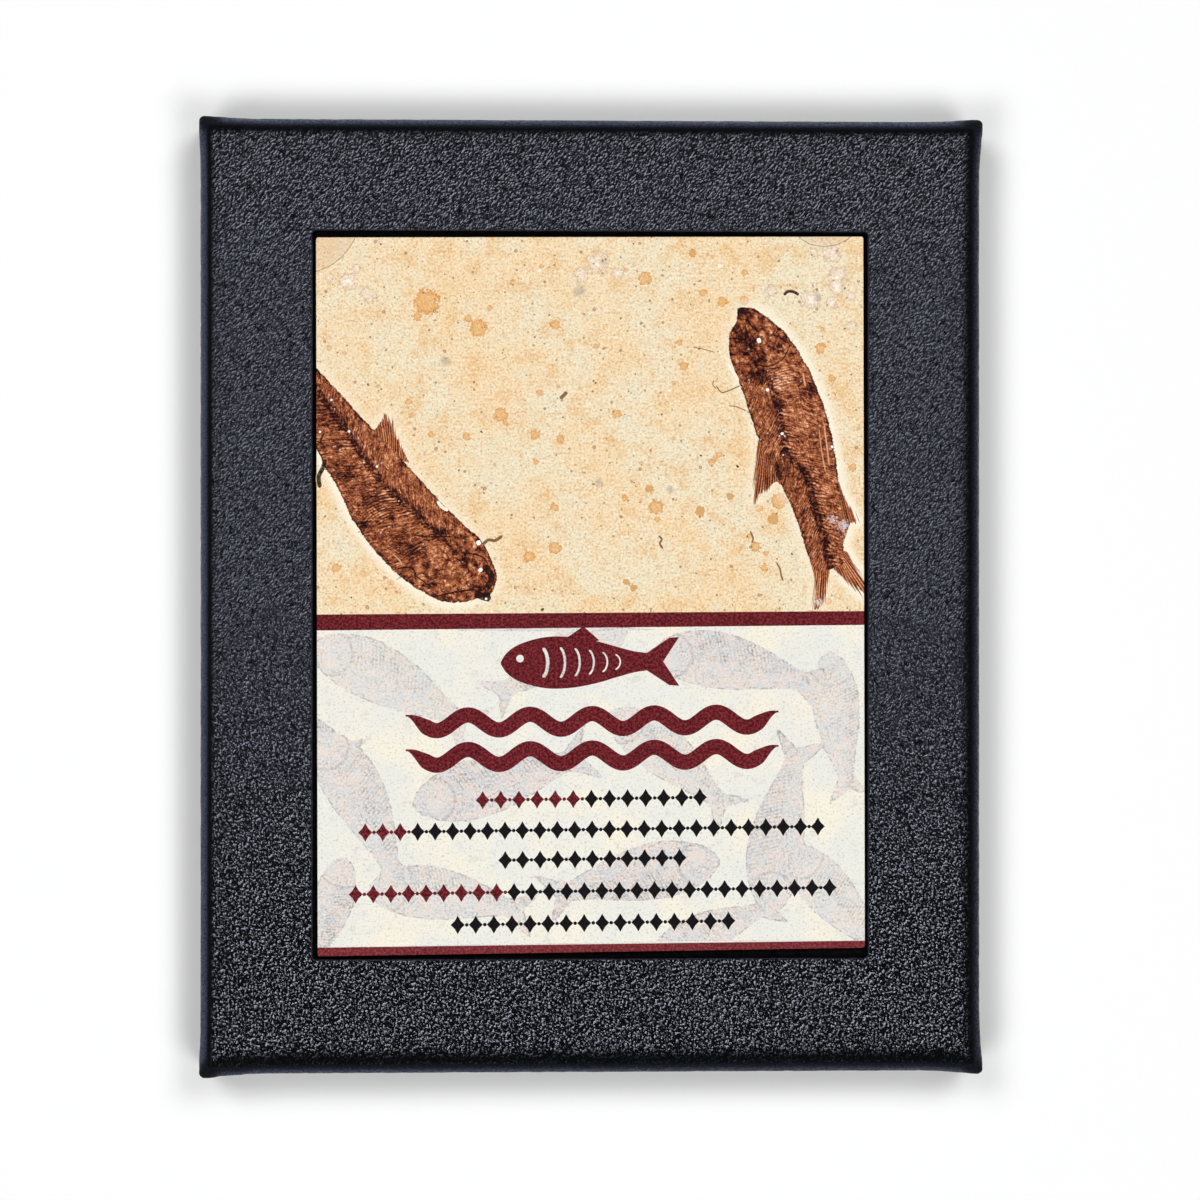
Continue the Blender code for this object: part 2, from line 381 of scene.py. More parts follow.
def wrapRows():  # rings of points from the window, over the face and rim, to the back and the rebate
    half = np.array([(caseHigh.x - caseLow.x) / 2 / mm, (caseHigh.y - caseLow.y) / 2 / mm])
    front = caseHigh.z / mm
    lap = wrap["backingLap"]
    window = np.array([(backingHigh.x - backingLow.x) / 2, (backingHigh.y - backingLow.y) / 2]) / mm - lap
    window = window - np.array(wrap["windowTrim"])
    middleOf = np.array(wrap["windowShift"]) + (0.0, (backingHigh.y + backingLow.y) / 2 / mm)
    rim, back, lip = wrap["rimRadius"], wrap["backRadius"], front - wrap["lipDepth"]
    facing = cornerLoop(*half, 1.0)[2]
    grooveAndShadeValues = zip(*(side["grooveAndShade"] for side in wrap["sides"]))
    middle, wideOut, wideIn, deep = (blended(facing, values) for values in grooveAndShadeValues)
    # painted sheen: the strength of the pale band on each side, fading in away from the corners
    pale = blended(facing, [side["pale"] for side in wrap["sides"]])
    fromCorner = cornerLoop(*half, 1.0)[1]
    pale = pale * (1 - np.exp(-((fromCorner / wrap["paintedSheenStart"]) ** 2)))
    tuck = np.exp(-((fromCorner / blended(facing, wrap["tuckShadeReach"])) ** 4))
    (tail, tailReach), (tuckShadeStrength, tuckReach) = wrap["tail"], wrap["tuckShade"]
    rows = []  # points, heights, how far the grain is stretched flat, groove with its painted shade, painted sheen band outside it

    def addRow(points, height, stretch, inset=9.0, share=0.0):  # share: how far down the wall
        gone = inset - middle
        # depth and painted shade together: the groove, a fading shade inward of it and a shade near the
        # corners
        grooveAndShade = np.exp(-(np.abs(gone / np.where(gone < 0, wideOut, wideIn)) ** 2.3))
        grooveAndShade = np.maximum(grooveAndShade, tail * np.exp(-np.maximum(gone, 0.0) / tailReach) * (gone > 0))
        grooveAndShade = np.maximum(grooveAndShade, tuckShadeStrength * tuck * math.exp(-((inset / tuckReach) ** 4)))
        # painted sheen: the band outside the groove
        outside = pale / (1 + np.exp((gone + wideOut) / wrap["paintedSheenEdge"]))
        kept = (1 - share) ** 2
        flat = np.full(len(points), stretch)
        rows.append((points, height - deep * grooveAndShade, flat, grooveAndShade * kept, outside * kept))

    def outer(inset, amount=1.0):
        radius = max(0.35, wrap["cornerRadius"] - 0.25 * inset)
        return pushedLoop(*cornerLoop(half[0] - inset, half[1] - inset, radius), half, amount)

    def inner(offset):
        loop = cornerLoop(window[0] + offset, window[1] + offset, wrap["windowCorner"] + max(offset, 0))
        return loop[0] + middleOf

    roundness = wrap["windowRound"]
    for share in np.linspace(0, 1, 4)[:-1]:
        addRow(inner(0.0), lip + (front - roundness - lip) * share, 2.0)
    for angle in np.linspace(0, math.pi / 2, 6):
        offset = roundness * (1 - math.cos(angle))
        addRow(inner(offset), front - roundness + roundness * math.sin(angle), 2.0 - 1.1 * angle)
    edgeIn, edgeOut = inner(roundness), outer(rim, 0.35)
    for share in np.append(np.arange(1, wrap["faceRows"] - 3) / wrap["faceRows"], wrap["nearRims"]):
        nearRim = (1 - share) * (half[0] - window[0] - rim)
        addRow(edgeIn * (1 - share) + edgeOut * share, front, max(0.0, 0.3 - nearRim * 0.5), rim + nearRim)
    for angle in np.linspace(0, math.pi / 2, wrap["rimRows"]):
        inset = rim * (1 - math.sin(angle))
        points = outer(inset, 0.35 + 0.65 * math.sin(angle))
        addRow(points, front - rim * (1 - math.cos(angle)), min(0.85, 0.3 + 2.0 * angle), inset)
    for share in np.linspace(0, 1, wrap["wallRows"])[1:-1]:
        addRow(outer(0.0), (front - rim) * (1 - share) + back * share, 0.8 - 0.6 * share, 0.0, share)
    for angle in np.linspace(0, math.pi / 2, 5):
        addRow(outer(back * (1 - math.cos(angle))), back * (1 - math.sin(angle)), 0.2)
    rebate, ring = inner(wrap["rebateMargin"]), outer(back)
    for share in np.linspace(0, 1, 7)[1:]:
        addRow(ring * (1 - share) + rebate * share, 0.0, 0.2)
    for share in np.linspace(0, 1, 5)[1:]:
        addRow(rebate, lip * share, 0.4)
    for share in np.linspace(0, 1, 4)[1:-1]:
        addRow(rebate * (1 - share) + inner(0.0) * share, lip, 0.4)
    return rows


def reliefTree():
    tree = bpy.data.node_groups.new("leatheretteRelief", "GeometryNodeTree")
    face = tree.interface
    face.new_socket("Geometry", in_out="INPUT", socket_type="NodeSocketGeometry")
    named = {}
    for name, value in wrap["relief"].items():
        socket = face.new_socket(name, in_out="INPUT", socket_type="NodeSocketFloat")
        socket.default_value = value
        named[name] = socket
    named["Seed"] = face.new_socket("Seed", in_out="INPUT", socket_type="NodeSocketFloat")
    named["Covering"] = face.new_socket("Covering", in_out="INPUT", socket_type="NodeSocketMaterial")
    face.new_socket("Geometry", in_out="OUTPUT", socket_type="NodeSocketGeometry")
    given = {socket.name: Value(socket) for socket in addNode(tree, "NodeGroupInput").outputs}
    place = scaled(Value(addNode(tree, "GeometryNodeInputPosition").outputs[0]), 1 / mm)
    moved = vectors("ADD", place, placeOf(given["Seed"], given["Seed"]))
    facts = {"Vector": moved, "Scale": 1.0 / given["Swell Size"], "Detail": 2.0}
    swell = (made("ShaderNodeTexNoise", facts, "Fac") - 0.5) * given["Swell Height"]
    facts = {"Vector": warped(moved, 5.0, 4.0), "Scale": 1.0 / given["Crease Size"]}
    cells = made("ShaderNodeTexVoronoi", facts, "Distance", feature="DISTANCE_TO_EDGE")
    crease = (1.0 - fade(cells, 0.0, 0.12)) * given["Crease Depth"]
    normal = Value(addNode(tree, "GeometryNodeInputNormal").outputs[0])
    limits = {0: shares(place)[2], 1: wrap["reliefAbove"]}
    above = made("FunctionNodeCompare", limits, operation="GREATER_THAN", data_type="FLOAT")
    offset = scaled(normal, (swell - crease) * mm)
    facts = {"Geometry": given["Geometry"], "Selection": above, "Offset": offset}
    real = made("GeometryNodeRealizeInstances", {0: made("GeometryNodeSetPosition", facts)})
    covered = made("GeometryNodeSetMaterial", {"Geometry": real, "Material": given["Covering"]})
    wire(covered, addNode(tree, "NodeGroupOutput").inputs[0])
    return tree, named


def grainPlace(place, turn, seed):  # turned, and drawn out along the grain
    spin = (0.0, 0.0, math.radians(turn))
    facts = {"Location": (seed, seed, 0.0), "Rotation": spin, "Scale": (wrap["grainLength"], 1.0, 1.0)}
    return made("ShaderNodeMapping", {"Vector": place, **facts}, vector_type="TEXTURE")


def pebbles(place):
    size = wrap["grainSize"]
    pebble = noiseAt(place, size, 1.5, 0.45, 0.2)
    other = noiseAt(warped(place, 1.2, 0.7), size * 0.72, 1.0, 0.5)
    return fade(pebble * 0.6 + other * 0.4, 0.37, 0.63)


def wrinkles(place):
    size = wrap["grainSize"]
    most = 0.0
    for spread, wide in ((3.4, 0.03), (1.7, 0.05)):
        path = noiseAt(warped(place, 2.6, 2.2, 2.0), size * spread, 1.0)
        broken = fade(noiseAt(place, size * spread * 0.7, 1.0), 0.42, 0.56)
        line = fade(abs(path - 0.5), wide, wide * 0.25)
        most = calc("MAXIMUM", most, line * broken)
    return most


def grained(pattern, place, lower):  # the pattern turned one way above the middle, another below it
    return mixValue(lower, *(pattern(grainPlace(place, turn, seed)) for turn, seed in wrap["grainTurns"]))


def leatherette():
    material, shader, place = newMaterial("blackLeatherette")
    stretch, grooveAndShade, outside = (fieldOf(place, name) for name in ("stretch", "grooveAndShade", "outside"))
    height = shares(place)[1]
    lower = fade(height + swing(noiseAt(place, 26.0, 2.0), 150.0), 4.0, -4.0)
    reach = wrap["grainLight"]
    beside = vectors("ADD", place, (-0.6 * reach, 0.8 * reach, 0.0))  # a little towards the light, for the painted highlights and painted shade
    grain = grained(pebbles, place, lower)
    # how far the grain faces the light; it sets the painted highlights and painted shade below
    lightFacing = grain - grained(pebbles, beside, lower)
    wrinkle = grained(wrinkles, place, lower)
    relief = grain + noiseAt(place, 0.16, 2.0, 0.6) * 0.3 - wrinkle * 0.6
    tight = fade(stretch, 0.95, 0.0)
    bump = made("ShaderNodeBump", {"Height": relief * tight, "Distance": wrap["grainDepth"] * mm})
    wire(bump, shader.inputs["Normal"])
    # painted light: the face darker, with stronger painted highlights and shade, towards the bottom and a
    # little near the top, as light from the top falls on it
    paintedContrast = calc("MAXIMUM", fade(height, 3.0, -62.0), fade(height, 46.0, 72.0) * 0.4)
    level = fade(relief, mixValue(paintedContrast, -0.3, 0.26), 1.2)
    # colours for the hollows, middles and tops of the grain: painted shade in the hollows, tops painted
    # lighter as if lit
    dark = mixColour(paintedContrast, (33, 33, 39), (1, 1, 2))
    base = mixColour(paintedContrast, (46, 47, 55), (14, 13, 18))
    light = mixColour(paintedContrast, (75, 77, 88), (80, 82, 93))
    colour = mixColour(fade(level, 0.0, 0.42), dark, base)
    colour = mixColour(fade(level, 0.5, 1.1), colour, light)
    # painted shade on the sides of the grain turned away from the light
    paintedShade = fade(lightFacing, -0.05, -0.4) * tight * mixValue(paintedContrast, 0.15, 0.85)
    colour = mixColour(paintedShade, colour, (4, 4, 6))
    # painted highlights on the tops of the grain that face the light
    tip = fade(relief + lightFacing * 1.6, mixValue(paintedContrast, 1.1, 1.0), 1.65)
    tip = tip * fade(noiseAt(place, 0.9, 2.0), 0.26, 0.56) * tight * mixValue(paintedContrast, 0.3, 0.85)
    colour = mixColour(tip, colour, (196, 200, 214))
    # painted shade in the wrinkles
    colour = mixColour(wrinkle * 0.85, colour, (2, 2, 4))
    # over the rim, where the covering is drawn tight: its own smoother, streaky grain, darkened with
    # painted shade and tinted with a bluish painted sheen
    streaks = fade(noiseAt(place, 0.3, 3.0, 0.7), 0.4, 0.62)
    pulledAndShaded = mixColour(streaks, (20, 20, 27), (50, 53, 66))
    colour = mixColour(fade(stretch, 0.25, 0.8), colour, pulledAndShaded)
    # painted sheen: a pale bluish band on the outer rim, outside the groove
    sheenStreaks = fade(noiseAt(place, 0.36, 3.0, 0.75), 0.36, 0.64)
    colour = mixColour(outside, colour, mixColour(sheenStreaks, (34, 38, 52), (88, 98, 122)))
    # painted shade in the groove, inward of it and near the corners
    colour = mixColour(grooveAndShade * 0.97, colour, (3, 3, 5))
    # painted shade down the window's wall
    colour = mixColour(fade(stretch, 1.2, 1.7), colour, (4, 3, 5))
    wire(colour, shader.inputs["Base Color"])
    rough = mixValue(fade(level, 0.1, 0.9), 0.85, 0.26)
    wire(mixValue(grooveAndShade, rough, 0.95), shader.inputs["Roughness"])
    shader.inputs["Specular IOR Level"].default_value = 0.26
    return material


def turnedEdgeShade():  # the covering where it turns in, down the window's wall, painted near black as shade
    material, shader, place = newMaterial("turnedEdgeShade")
    colour = mixColour(noiseAt(place, 0.5, 3.0, 0.6), (3, 3, 4), (17, 16, 19))
    finish(shader, colour, place, 0.05, 0.8, 0.08)
    return material


def makeWrap():
    rows = wrapRows()
    around = len(rows[0][0])
    centre = np.array([(caseHigh.x + caseLow.x) / 2, (caseHigh.y + caseLow.y) / 2, 0.0])
    rings = [np.column_stack([row[0], row[1] + np.zeros(around)]) for row in rows]
    points = np.concatenate(rings) * mm + centre
    faces = []
    for row in range(len(rows)):
        here, there = row * around, ((row + 1) % len(rows)) * around
        for step in range(around):
            after = (step + 1) % around
            faces.append((here + step, there + step, there + after, here + after))
    piece = meshObject("leatheretteCover", points, faces)
    mesh = piece.data
    for number, name in enumerate(("stretch", "grooveAndShade", "outside"), 2):
        values = np.concatenate([row[number] for row in rows])
        mesh.attributes.new(name, "FLOAT", "POINT").data.foreach_set("value", values)
    mesh.shade_smooth()
    material = leatherette()
    tree, named = reliefTree()
    relief = piece.modifiers.new("relief", "NODES")
    relief.node_group = tree
    relief[named["Seed"].identifier] = wrap["reliefSeed"]
    relief[named["Covering"].identifier] = material
    graph = bpy.context.evaluated_depsgraph_get()
    finished = bpy.data.meshes.new_from_object(piece.evaluated_get(graph))
    piece.modifiers.remove(relief)
    piece.data = finished
    finished.name = "leatheretteCover"
    # painted shade: the first rows, down the window's wall, take the near-black material
    finished.materials.append(turnedEdgeShade())
    turned = np.arange(len(finished.polygons)) < around * wrap["turnedShadeRows"]
    finished.polygons.foreach_set("material_index", turned.astype(np.int32))
    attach(piece, "root")
    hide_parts("leatherette_surround")
    print("leatherette cover:", len(finished.polygons), "faces")


makeWrap()


# the printed card: stone with two fossil fish above, a label field below
card = {
    "width": 89.1, "height": 116.3, "corner": 0.25, "bevel": 0.1, "bevelSteps": 3,
    "fine": 0.33, "coarse": 0.5, "edgeStep": 1.5,  # between mesh points: stone, label and outline
    "turn": 0.13, "shift": -0.21,
    "slant": 0.50, "slantGain": -0.0035,  # degrees that level lines climb, and what each mm of height adds
    "bars": [(-2.85, -3.09), (-5.43, -5.35), (-56.72, -56.97)],  # heights of their edges, left and right
    "fields": ("stone", "maroon", "paper", "foot"),  # from the top down
    "fishReach": -4.0,  # mm past a fish's outline where its print ends and the bare stone's begins
    "inks": {  # a tint and its darker specks
        "maroon": ((146, 54, 61), (56, 10, 16)), "foot": ((158, 70, 74), (82, 26, 31)),
        "dark": ((34, 30, 32), (18, 16, 18)),
    },
    "threadInks": {
        "dark": (40, 20, 20), "brown": (128, 88, 52), "light": (224, 166, 124), "white": (255, 250, 244),
        "bare": (252, 240, 216),
    },
}


def sheetPlaces(points):  # card millimetres to object metres
    turn = math.radians(card["turn"])
    climb = np.radians(card["slant"] + card["slantGain"] * points[:, 1])
    x = (cardLow.x + cardHigh.x) / 2 / mm + card["shift"] + points[:, 0] - points[:, 1] * math.sin(turn)
    y = (cardLow.y + cardHigh.y) / 2 / mm + points[:, 1] + points[:, 0] * np.tan(climb)
    return np.column_stack([x, y]) * mm


def barsOver(x, y):  # how many of the printed bars' edges lie above a place
    share = (x + card["width"] / 2) / card["width"]
    return sum(y < left + (right - left) * share for left, right in card["bars"])


def smoothLine(points, steps):  # a curve through a few points
    points = np.array(points, dtype=float)
    ends = np.vstack([2 * points[0] - points[1], points, 2 * points[-1] - points[-2]])
    found = []
    for index in range(len(points) - 1):
        a, b, c, d = ends[index:index + 4]
        for share in np.arange(steps) / steps:
            found.append(0.5 * (2 * b + (c - a) * share + (2 * a - 5 * b + 4 * c - d) * share ** 2
                                + (3 * b - a - 3 * c + d) * share ** 3))
    found.append(points[-1])
    return np.array(found)


def nearest(points, line):  # distance, length run along the line, and side
    best = np.full(len(points), 1e9)
    along = np.zeros(len(points))
    side = np.zeros(len(points))
    run = 0.0
    for start, end in zip(line[:-1], line[1:]):
        step = end - start
        length = math.hypot(*step)
        if length < 1e-9:
            continue
        share = np.clip(((points - start) @ step) / length ** 2, 0, 1)
        gone = points - (start + share[:, None] * step)
        away = np.hypot(gone[:, 0], gone[:, 1])
        closer = away < best
        best[closer] = away[closer]
        along[closer] = (run + share * length)[closer]
        side[closer] = np.sign(step[0] * gone[:, 1] - step[1] * gone[:, 0])[closer]
        run += length
    return best, along, side


def depthInside(points, outline):  # positive inside the outline
    ring = np.vstack([outline, outline[:1]])
    away, _, _ = nearest(points, ring)
    inside = np.zeros(len(points), dtype=bool)
    for (x0, y0), (x1, y1) in zip(ring[:-1], ring[1:]):
        if y0 == y1:
            continue
        crosses = (y0 > points[:, 1]) != (y1 > points[:, 1])
        where = x0 + (points[:, 1] - y0) * (x1 - x0) / (y1 - y0)
        inside ^= crosses & (points[:, 0] < where)
    return np.where(inside, away, -away)


def bodyOutline(stations, steps=8):  # stations: centre x, y, width to the back, width to the belly
    line = smoothLine(stations, steps)
    heading = np.gradient(line[:, :2], axis=0)
    heading /= np.linalg.norm(heading, axis=1)[:, None]
    belly = np.column_stack([-heading[:, 1], heading[:, 0]])
    lower = line[:, :2] + belly * line[:, 3:4]
    upper = line[:, :2] - belly * line[:, 2:3]
    return line[:, :2], np.vstack([lower, upper[::-1]])


fossils = [
    {
        "stations": [
            (24.2, 46.4, 0.4, 0.4), (25.6, 44.9, 2.8, 2.1), (27.0, 41.8, 4.9, 4.1), (28.6, 38.0, 5.4, 5.3),
            (30.6, 33.2, 5.65, 5.9), (32.6, 27.6, 5.85, 6.0), (34.4, 21.6, 4.9, 5.6),
            (36.0, 15.8, 3.8, 4.7), (37.3, 10.8, 3.2, 3.8), (38.4, 6.6, 3.0, 2.9), (39.3, 3.9, 2.2, 2.0),
        ],
        "fins": [  # outline, and the far point its rays fan out from
            ([(27.2, 25.2), (26.8, 20.8), (26.5, 14.8), (27.6, 16.2), (28.8, 16.8), (30.2, 18.1),
              (32.2, 17.2), (31.5, 23.0)], (29.9, 38.0)),
            ([(40.4, 18.6), (41.2, 16.0), (42.3, 13.8), (43.4, 11.7), (42.4, 11.2), (41.8, 10.0),
              (41.3, 8.6), (39.5, 8.8), (38.8, 14.0)], (38.6, 26.0)),
            ([(35.2, 6.6), (36.1, 3.8), (36.5, 1.4), (36.3, -2.5), (37.4, -2.4), (38.3, 0.2), (38.9, 3.4),
              (39.6, 6.6)], (38.5, 15.0)),
            ([(38.2, 7.4), (41.6, 6.7), (42.7, 4.8), (45.2, 0.9), (45.2, -0.9), (42.0, 1.5), (39.2, 4.3)],
             (36.8, 12.0)),
        ],
        "patches": [  # x, y, reach, darker below nought and lighter above
            (24.5, 46.1, 0.8, -0.5), (24.9, 41.7, 1.5, -0.34), (26.3, 39.3, 1.7, -0.24),
            (27.4, 35.8, 1.6, -0.32), (30.2, 30.6, 1.3, -0.2), (35.6, 33.3, 1.2, -0.32),
            (31.0, 20.2, 1.3, -0.34), (34.9, 18.9, 1.4, -0.24), (36.9, 13.0, 1.1, -0.2),
            (31.5, 41.4, 0.5, -0.4), (38.0, 8.2, 1.0, -0.2), (31.2, 34.6, 1.9, 0.2), (30.6, 38.6, 1.6, 0.1),
            (34.6, 28.6, 2.2, 0.12), (38.6, 17.0, 1.8, 0.1), (28.8, 44.3, 1.4, 0.1),
        ],
        "whitened": [(39.4, 11.9, 1.2), (37.0, -1.5, 0.9), (41.1, 10.9, 1.5)],  # x, y, reach
        "arches": (34.0, 25.0, 31.4, 35.0, 2.4),  # middles of the ribs' arcs and of where they show, reach
        "spine": [  # run along the body, offset
            (0.0, -0.3), (10.0, -0.5), (17.0, -1.1), (22.0, -1.7), (25.0, -2.3), (27.0, -1.0), (29.0, -0.2),
            (31.0, 0.1), (38.0, 0.1), (40.0, 0.3), (46.0, -0.2),
        ],
    },
    {
        "stations": [
            (-16.2, 0.5, 0.6, 1.2), (-17.6, 1.8, 3.2, 3.3), (-20.6, 3.9, 5.4, 5.9), (-24.8, 7.2, 6.0, 7.0),
            (-29.0, 11.0, 6.2, 7.0), (-33.0, 15.6, 6.1, 6.6), (-36.6, 20.4, 5.6, 5.45),
            (-40.2, 25.2, 4.8, 4.6), (-44.0, 30.4, 4.1, 3.6), (-47.6, 35.2, 3.6, 3.2),
        ],
        "fins": [
            ([(-29.4, 21.4), (-31.1, 24.9), (-32.0, 27.2), (-33.2, 29.6), (-33.9, 28.6), (-34.6, 27.6),
              (-35.4, 26.4), (-34.6, 24.0)], (-31.9, 14.0)),
        ],
        "patches": [
            (-20.8, 5.9, 0.9, -0.36), (-36.9, 11.6, 1.0, -0.45), (-35.8, 16.1, 1.8, -0.2),
            (-39.7, 20.0, 1.5, -0.26), (-29.2, 7.2, 1.5, -0.24), (-33.2, 14.2, 2.0, -0.16),
            (-41.4, 28.6, 1.6, -0.22), (-43.9, 30.4, 1.4, -0.24), (-25.0, 3.0, 0.6, -0.34),
            (-31.0, 9.4, 1.6, -0.16), (-24.4, 10.0, 1.6, -0.14), (-17.6, 0.6, 1.2, -0.3),
            (-25.4, 7.3, 1.7, 0.2), (-22.2, 3.0, 1.7, 0.1), (-31.6, 23.6, 2.2, 0.1),
            (-37.0, 24.6, 1.8, 0.06), (-18.9, 8.4, 0.9, 0.08), (-27.4, 3.2, 1.6, 0.06),
        ],
        "whitened": [],
        "arches": (-32.0, 8.6, -34.4, 14.2, 3.4),
        "spine": [
            (0.0, -1.0), (9.0, -2.0), (14.0, -2.15), (19.0, -2.0), (25.0, -1.05), (30.0, -1.0),
            (36.0, -1.45), (42.0, -1.4), (48.0, -1.4),
        ],
    },
]

